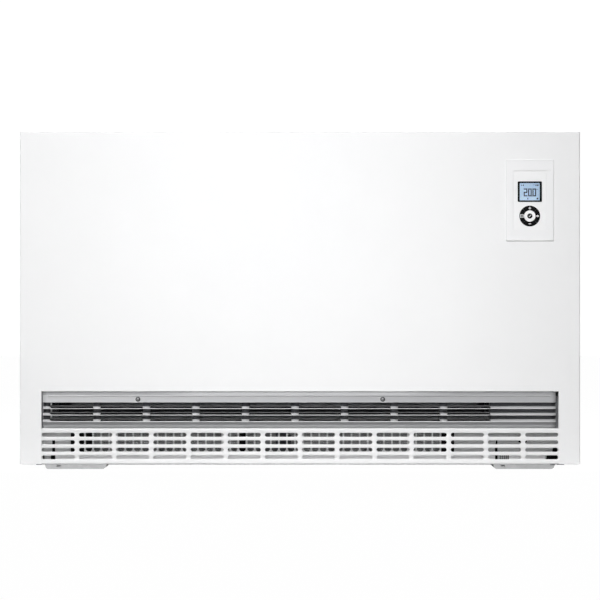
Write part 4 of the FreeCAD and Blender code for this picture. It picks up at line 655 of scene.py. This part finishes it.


# The louvres' lacquer is painted paler at the left and darker to the right: painted light falling off across
# the grille.
louvre_silver_painted_light = silver("louvre_silver_painted_light", (0.57, 0.574, 0.585), (0.44, 0.444, 0.455), "X", -0.5, 0.25)
louvres = piece("outlet_louvres", bm, louvre_silver_painted_light)
# The webs' upper parts, in shade under the louvres above, are painted near black: painted shade.
web_painted_shade = coated("web_painted_shade", (0.09, 0.094, 0.1), (0.12, 0.124, 0.13), (0.5, 0.65), 1500.0, 0.1,
                    {"Specular IOR Level": 0.2})
for lacquer in (
        web_painted_shade,
        # The strip above the bead is painted paler in the middle and darker to its ends: painted sheen and
        # painted shade.
        silver("top_strip_painted_sheen", (0.46, 0.464, 0.474), (0.32, 0.323, 0.331), "X", 0.2, 0.32, mirrored=True),
        # The sill's upper facet, which faces down, is painted darker: painted shade.
        silver("sill_painted_shade", (0.43, 0.434, 0.444), (0.33, 0.334, 0.342), "Z", 0.0865, 0.0885),
        # The noses and the flange's lower lip are painted paler: painted highlight.
        silver("lip_painted_highlight", (0.59, 0.594, 0.605), (0.61, 0.614, 0.625), "X", -0.5, 0.25)):
    louvres.data.materials.append(lacquer)
thickness = louvres.modifiers.new("sheet", "SOLIDIFY")
thickness.thickness = 0.0009
thickness.offset = -1.0
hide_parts("outlet_grille")
bm = bmesh.new()
for x0, x1, top_z in ((low.x, left_x + 0.001, high.z), (right_x - 0.001, high.x, 0.1462)):
    block(bm, x0, x1, nose_y + 0.0067, nose_y + 0.0093, low.z, top_z)
# The recessed end plates are painted dark: painted shade.
end_painted_shade = silver("end_painted_shade", (0.165, 0.167, 0.174), (0.112, 0.114, 0.119), "X", -0.5, 0.5)
piece("outlet_ends", bm, end_painted_shade)

# The duct behind the grille: the baffle and the mixing flap are sheet steel painted near black, as painted
# shade.
# A finger guard of blackened wire gauze stands before them, painted darker along its middle and at its ends
# as painted shade, and a guard strip, black as painted shade, with a lighter grey upper edge runs behind each
# louvre.
duct_painted_shade = coated("duct_painted_shade", (0.012, 0.0125, 0.013), (0.02, 0.0205, 0.021), (0.6, 0.8), 1500.0, 0.1)
dress(["air_baffle", "mixing_flap"], duct_painted_shade)
material, tree, shader = finish("blackened_wire", {"Specular IOR Level": 0.1})
skin = grained(tree, 1500.0, 12.0)
wires = maths(tree, "MAXIMUM", *bands(tree, 150.0))
# Painted shade: the guard is darker in a band across its middle and at its upper ends.
painted_shade_x, painted_shade_z = -0.053, 0.1155
up_or_down = maths(tree, "ABSOLUTE", maths(tree, "SUBTRACT", own_axis(tree, "Z"), painted_shade_z))
sideways = maths(tree, "ABSOLUTE", maths(tree, "SUBTRACT", own_axis(tree, "X"), painted_shade_x))
inner = ramp(tree, sideways, 0.417, 0.4)
low_part = ramp(tree, own_axis(tree, "Z"), 0.109, 0.107)
open_part = maths(tree, "MAXIMUM", inner, low_part)
outside_painted_shade = maths(tree, "MULTIPLY", ramp(tree, up_or_down, 0.004, 0.007), open_part)
feed(tree, shader, colour=blend(tree, outside_painted_shade, (0.03, 0.031, 0.034), (0.24, 0.248, 0.262)),
     gloss=between(tree, skin["Patch"], 0.6, 0.8), cover=ramp(tree, wires, 0.4, 0.5),
     relief=raised(tree, wires, 0.3, 0.0002))
bm = bmesh.new()
block(bm, window_left - 0.01, window_right + 0.002, nose_y + 0.0297, nose_y + 0.0303, 0.089, 0.137)
piece("finger_guard", bm, material)
bm = bmesh.new()
edges_bm = bmesh.new()
guard_y = nose_y + 0.0145
for k in range(3):
    foot_z = first_z + k * louvre_pitch
    edge_z = foot_z + 0.0026
    for mesh_of, half, z0, z1 in ((bm, 0.0005, foot_z - 0.001, edge_z),
                                  (edges_bm, 0.0007, edge_z, edge_z + 0.0023)):
        block(mesh_of, window_left - 0.006, window_right, guard_y - half, guard_y + half, z0, z1)
# The strips are near black: painted shade behind the louvres.
guard_strip_painted_shade = coated("guard_strip_painted_shade", (0.003, 0.003, 0.0035), (0.006, 0.006, 0.0065), (0.7, 0.9), 1500.0, 0.1,
                     {"Specular IOR Level": 0.05})
piece("guard_strips", bm, guard_strip_painted_shade)
# Their upper edges are a lighter grey.
grey_edge = coated("grey_edge", (0.16, 0.162, 0.166), (0.2, 0.202, 0.206), (0.45, 0.6), 1500.0, 0.1)
piece("guard_edges", edges_bm, grey_edge)

# The two screws that hold the warm-air grille: dulled cross-recess heads on dark fibre washers.
# They go through the grille's flange, under the bead, into the casing.
low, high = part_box("grille_screws")
facing_front = Matrix.Rotation(math.radians(90), 4, "X")
washer, screw_z = 0.0007, (low.z + high.z) / 2
screw_xs = (low.x + 0.0045, high.x - 0.0045)
bm = bmesh.new()
for x in screw_xs:
    bmesh.ops.create_cone(
        bm, cap_ends=True, segments=28, radius1=0.0049, radius2=0.0044, depth=washer,
        matrix=Matrix.Translation((x, nose_y - washer / 2, screw_z)) @ facing_front)
washer_fibre = coated("washer_fibre", (0.02, 0.02, 0.022), (0.045, 0.045, 0.048), (0.5, 0.7), 1800.0, 0.2)
washers = piece("screw_washers", bm, washer_fibre)
turned = facing_front @ Matrix.Rotation(0.5, 4, "Z")
places = [Matrix.Translation((x, nose_y - washer, screw_z)) @ turned for x in screw_xs]
dulled_head = drawn_metal(
    "dulled_head", (0.2, 0.202, 0.206), (0.34, 0.342, 0.346), (0.4, 0.5), (500, 500, 60), 0.6)
heads = piece("grille_screw_heads", screw_heads(0.0032, 0.0013, places), dulled_head)
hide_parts("grille_screws")

# The control unit's white mouldings: a bezel that clips in the front panel, a face plate set in it and
# the round middle key, with the finest spark-eroded grain.
material, tree, shader = finish("white_moulding", {})
skin = grained(tree, 2400.0, 20.0)
low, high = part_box("control_bezel")
# The bezel is painted darker along its top and left rims: painted shade over the light those edges catch.
rim_in, rim_out = 0.0013, 0.0009
to_left = ramp(tree, own_axis(tree, "X"), low.x + rim_in, low.x + rim_out)
to_top = ramp(tree, own_axis(tree, "Z"), high.z - rim_in, high.z - rim_out)
rim = maths(tree, "MAXIMUM", to_left, to_top)
feed(tree, shader, colour=blend(tree, rim, (0.875, 0.877, 0.885), (0.72, 0.722, 0.73)),
     gloss=between(tree, skin["Patch"], 0.38, 0.46), relief=raised(tree, skin["Height"], 0.05, 0.0002))
dress(["control_bezel"], material)
face_moulding = coated(
    "face_moulding", (0.88, 0.882, 0.888), (0.9, 0.902, 0.908), (0.36, 0.44), 2400.0, 0.05, patch_scale=20.0)
dress(["control_face", "key_ok"], face_moulding)


# The display: a clear acrylic window over a black printed mask, and the liquid-crystal cell behind,
# lit pale blue through a diffuser with a faint grid of cells.
def cornered_plate(bm, x, z, width, height, y0, y1, corner, segments):
    """An upright plate with its four corners rounded, or cut off where segments is 1."""
    made = block(bm, x - width / 2, x + width / 2, y0, y1, z - height / 2, z + height / 2)
    if corner:
        through = {edge for vert in made for edge in vert.link_edges
                   if abs(edge.verts[0].co.y - edge.verts[1].co.y) > 0.9 * (y1 - y0)}
        bmesh.ops.bevel(bm, geom=list(through), offset=corner, offset_type="OFFSET", segments=segments,
                        profile=0.5, affect="EDGES", material=-1)


low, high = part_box("display_lens")
lens_x, lens_z = (low.x + high.x) / 2, (low.z + high.z) / 2
mask_y = low.y + 0.0016
bm = bmesh.new()
cornered_plate(bm, lens_x, lens_z, high.x - low.x, high.z - low.z, low.y, mask_y, 0.002, 5)
material, tree, shader = finish("clear_acrylic", {
    "Transmission Weight": 1.0, "IOR": 1.49, "Base Color": (0.97, 0.985, 1.0, 1.0)})
feed(tree, shader, gloss=between(tree, grained(tree, 1200.0, 70.0)["Patch"], 0.02, 0.05))
pane = piece("display_pane", bm, material)
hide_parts("display_lens")

half_w, half_h = 0.0203, 0.0175
outer = window(low.x, high.x, low.z, high.z)
inner = window(lens_x - half_w, lens_x + half_w, lens_z - half_h, lens_z + half_h)
mask_black = coated("mask_black", (0.001, 0.001, 0.002), (0.002, 0.002, 0.004), (0.3, 0.42), 2600.0, 0.04,
                    {"Specular IOR Level": 0.05})
mask = piece("display_mask", punched_plate(outer, [inner], mask_y, high.y), mask_black)

material, tree, shader = finish("lit_cell", {"Emission Strength": 0.54})
skin = grained(tree, 900.0, 45.0)
cells = maths(tree, "MULTIPLY", *bands(tree, 420.0))
lit = blend(tree, maths(tree, "MAXIMUM", cells, skin["Patch"]), (0.4, 0.53, 0.69), (0.5, 0.62, 0.76))
feed(tree, shader, colour=lit, glow=lit, gloss=between(tree, skin["Patch"], 0.4, 0.55))
dress(["lcd_panel"], material)

# The figures and marks of the display: dark liquid-crystal segments on the cell's front glass.
# They are films in the cell, so they stand hardly proud of it.
cell_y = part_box("lcd_panel")[0].y
ink = 0.00008


def bar(bm, x, z, width, height, y, proud, point=0.0):
    """A thin raised bar on an upright face, its corners cut off by the amount of point."""
    cornered_plate(bm, x, z, width, height, y - proud, y, point, 1)


def figure(bm, x, z, width, height, thick, lit_strokes):
    """A seven-stroke figure: the uprights stand between the flat strokes, a hair's breadth from them."""
    hair = 0.00008
    half_w, half_h = (width - thick) / 2, (height - thick) / 2
    past = thick / 2 if "middle" in lit_strokes else -hair / 2
    reach = half_h - thick / 2 - hair
    upright, rise = reach + past, (reach - past) / 2
    places = {
        "top": (0, half_h, width, thick), "bottom": (0, -half_h, width, thick),
        "middle": (0, 0, width - 2 * thick - 2 * hair, thick),
        "upper_left": (-half_w, rise, thick, upright), "upper_right": (half_w, rise, thick, upright),
        "lower_left": (-half_w, -rise, thick, upright), "lower_right": (half_w, -rise, thick, upright)}
    for stroke in lit_strokes.split():
        dx, dz, across, tall = places[stroke]
        bar(bm, x + dx, z + dz, across, tall, cell_y, ink)


bm = bmesh.new()
figures_z = lens_z - 0.0014
two = "top upper_right middle lower_left bottom"
nought = "top upper_left upper_right lower_left lower_right bottom"
for x, strokes in ((-0.0084, two), (0.0004, nought), (0.0092, nought)):
    figure(bm, lens_x + x, figures_z, 0.0074, 0.0158, 0.0022, strokes)
bar(bm, lens_x + 0.0048, figures_z - 0.0072, 0.0012, 0.0014, cell_y, ink)
marks = ((-0.0165, 0.0138, 0.0026, 0.0009), (-0.0165, 0.0122, 0.0026, 0.0009), (-0.0128, 0.013, 0.002, 0.003),
         (0.0085, 0.0138, 0.0036, 0.0008), (0.0128, 0.013, 0.0022, 0.003), (0.0163, 0.013, 0.0028, 0.0032),
         (0.0148, 0.0048, 0.0016, 0.0016), (-0.0038, -0.0138, 0.0018, 0.0036),
         (0.0156, -0.0138, 0.003, 0.003))
for x, z, width, height in marks:
    bar(bm, lens_x + x, lens_z + z, width, height, cell_y, ink, 0.0004)
crystal = coated("crystal_dark", (0.012, 0.022, 0.06), (0.02, 0.034, 0.085), (0.4, 0.55), 2600.0, 0.03)
figures = piece("display_figures", bm, crystal)

# The four outer keys: satin black mouldings that make up a ring, pad-printed with white legends.
# Each legend is a film of ink on its own key, so that it goes in with the key.
key_black = coated("key_black", (0.0015, 0.0015, 0.002), (0.003, 0.003, 0.0035), (0.4, 0.5), 2400.0, 0.06,
                   {"Specular IOR Level": 0.08})
dress(["key_plus", "key_minus", "key_menu", "key_next"], key_black)
legend_white = coated("legend_white", (0.78, 0.78, 0.785), (0.84, 0.84, 0.845), (0.45, 0.6), 2400.0, 0.05)
low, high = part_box("key_plus")
pad_x, key_y = (low.x + high.x) / 2, low.y
pad_z = high.z - 0.02075
legend_reach = 0.0158
print_proud = 0.00006


def printed_shape(bm, outline, y, proud):
    """A film of ink with an outline of (x, z) corners."""
    corners = [bm.verts.new((x, y, z)) for x, z in outline]
    film = bm.faces.new(corners)
    raised_film = bmesh.ops.extrude_face_region(bm, geom=[film], use_keep_orig=True)
    bmesh.ops.translate(bm, verts=verts_of(raised_film["geom"]), vec=(0, -proud, 0))
    bmesh.ops.recalc_face_normals(bm, faces=bm.faces[:])


bm = bmesh.new()
arm, stem, plus_z = 0.0026, 0.00065, pad_z + legend_reach
printed_shape(bm, [(pad_x + x, plus_z + z) for x, z in (
    (-arm, -stem), (-stem, -stem), (-stem, -arm), (stem, -arm), (stem, -stem), (arm, -stem),
    (arm, stem), (stem, stem), (stem, arm), (-stem, arm), (-stem, stem), (-arm, stem))], key_y, print_proud)
piece("legend_plus", bm, legend_white, "plus_key")
bm = bmesh.new()
bar(bm, pad_x, pad_z - legend_reach, 0.005, 0.0013, key_y, print_proud)
piece("legend_minus", bm, legend_white, "minus_key")
page_x, page_half, line = pad_x - legend_reach, 0.00345, 0.0009
outer = window(page_x - page_half, page_x + page_half, pad_z - page_half, pad_z + page_half)
inner_x = (page_x - page_half + line, page_x + page_half - line)
panes = [window(*inner_x, pad_z + line / 2, pad_z + page_half - line),
         window(*inner_x, pad_z - page_half + line, pad_z - line / 2)]
bm = punched_plate(outer, panes, key_y - print_proud, key_y)
piece("legend_menu", bm, legend_white, "menu_key")
bm = bmesh.new()
tip = pad_x + legend_reach + 0.0031
tail, barb, shaft, wing = tip - 0.0064, tip - 0.0036, 0.001, 0.0028
printed_shape(bm, [
    (tail, pad_z - shaft), (barb, pad_z - shaft), (barb, pad_z - wing), (tip, pad_z),
    (barb, pad_z + wing), (barb, pad_z + shaft), (tail, pad_z + shaft)], key_y, print_proud)
piece("legend_next", bm, legend_white, "next_key")

# The middle key's black dot and white tick, printed one over the other.
# Both are films of ink on the key, and go in with it.
ok_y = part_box("key_ok")[0].y
bm = bmesh.new()
dot = 0.0052
bmesh.ops.create_cone(bm, cap_ends=True, segments=40, radius1=dot, radius2=dot, depth=print_proud,
                      matrix=Matrix.Translation((pad_x, ok_y - print_proud / 2, pad_z)) @ facing_front)
piece("ok_dot", bm, key_black, "ok_key")
bm = bmesh.new()
printed_shape(bm, [(pad_x + x, pad_z + z) for x, z in (
    (-0.0025, 0.0002), (-0.0008, -0.0021), (0.0027, 0.0019), (0.0019, 0.0026), (-0.0008, -0.0006),
    (-0.0018, 0.0008))], ok_y - print_proud, print_proud)
piece("ok_tick", bm, legend_white, "ok_key")

# The studio: a pale floor that runs out to a white surround, a soft key light above and in front of
# the heater, and the camera straight before it, a long way off.
bm = bmesh.new()
bmesh.ops.create_grid(bm, x_segments=4, y_segments=4, size=9.0)
mesh = bpy.data.meshes.new("studio_floor")
bm.to_mesh(mesh)
bm.free()
material, tree, shader = finish("pale_floor", {"Roughness": 0.9, "Specular IOR Level": 0.1})
white = (1.0, 1.0, 1.0, 1.0)
patchy = maths(tree, "MULTIPLY", grained(tree, 300.0, 2.0)["Patch"], 0.05)
paleness = maths(tree, "SUBTRACT", ramp(tree, own_axis(tree, "Y"), -0.2, -0.15), patchy)
feed(tree, shader, colour=blend(tree, paleness, (0.13, 0.13, 0.13), (0.5, 0.5, 0.5)))
glow = node(tree, "ShaderNodeEmission", {"Color": white, "Strength": 1.03})
part_seen = maths(tree, "MULTIPLY", node(tree, "ShaderNodeLightPath").outputs["Is Camera Ray"], 0.96)
shown = node(tree, "ShaderNodeMixShader", {0: part_seen, 1: shader.outputs[0], 2: glow.outputs[0]})
tree.links.new(shown.outputs[0], tree.nodes["Material Output"].inputs["Surface"])
mesh.materials.append(material)
floor = bpy.data.objects.new("studio_floor", mesh)
bpy.context.scene.collection.objects.link(floor)

world = bpy.data.worlds.new("studio_surround")
world.use_nodes = True
bpy.context.scene.world = world
tree = world.node_tree
in_view = node(tree, "ShaderNodeLightPath").outputs["Is Camera Ray"]
tree.nodes["Background"].inputs["Color"].default_value = white
tree.links.new(between(tree, in_view, 0.08, 1.05), tree.nodes["Background"].inputs["Strength"])


def soft_lamp(name, width, height, spread, energy, aim, towards, away):
    """A soft lamp that stands some metres away from its aim, towards a direction."""
    lamp = bpy.data.lights.new(name, "AREA")
    lamp.shape = "RECTANGLE"
    lamp.size, lamp.size_y = width, height
    lamp.spread = math.radians(spread)
    lamp.energy = energy
    made = bpy.data.objects.new(name, lamp)
    bpy.context.scene.collection.objects.link(made)
    direction = Vector(towards).normalized()
    made.location = Vector(aim) + away * direction
    made.rotation_euler = (-direction).to_track_quat("-Z", "Y").to_euler()


soft_lamp("key_light", 0.7, 0.9, 54, 28.5, (0.02, -0.12, 0.47), (-0.26, -0.84, 0.49), 6.0)
soft_lamp("fill_light", 1.6, 1.6, 24, 2.0, (-0.02, -0.12, 0.12), (-0.02, -0.99, 0.1), 5.0)
for side in (-1, 1):
    soft_lamp("rear_light", 1.4, 1.4, 60, 24.0, (0.0, 0.05, 0.34), (side * 0.66, 0.6, 0.45), 5.0)

lens = bpy.data.cameras.new("studio_camera")
lens.lens = 133.9
lens.sensor_width = 36.0
camera = bpy.data.objects.new("studio_camera", lens)
camera.location = (0.0, -4.624, 0.3409)
camera.rotation_euler = (math.pi / 2, 0.0, 0.0)
bpy.context.scene.collection.objects.link(camera)
bpy.context.scene.camera = camera
bpy.context.scene.view_settings.view_transform = "Standard"
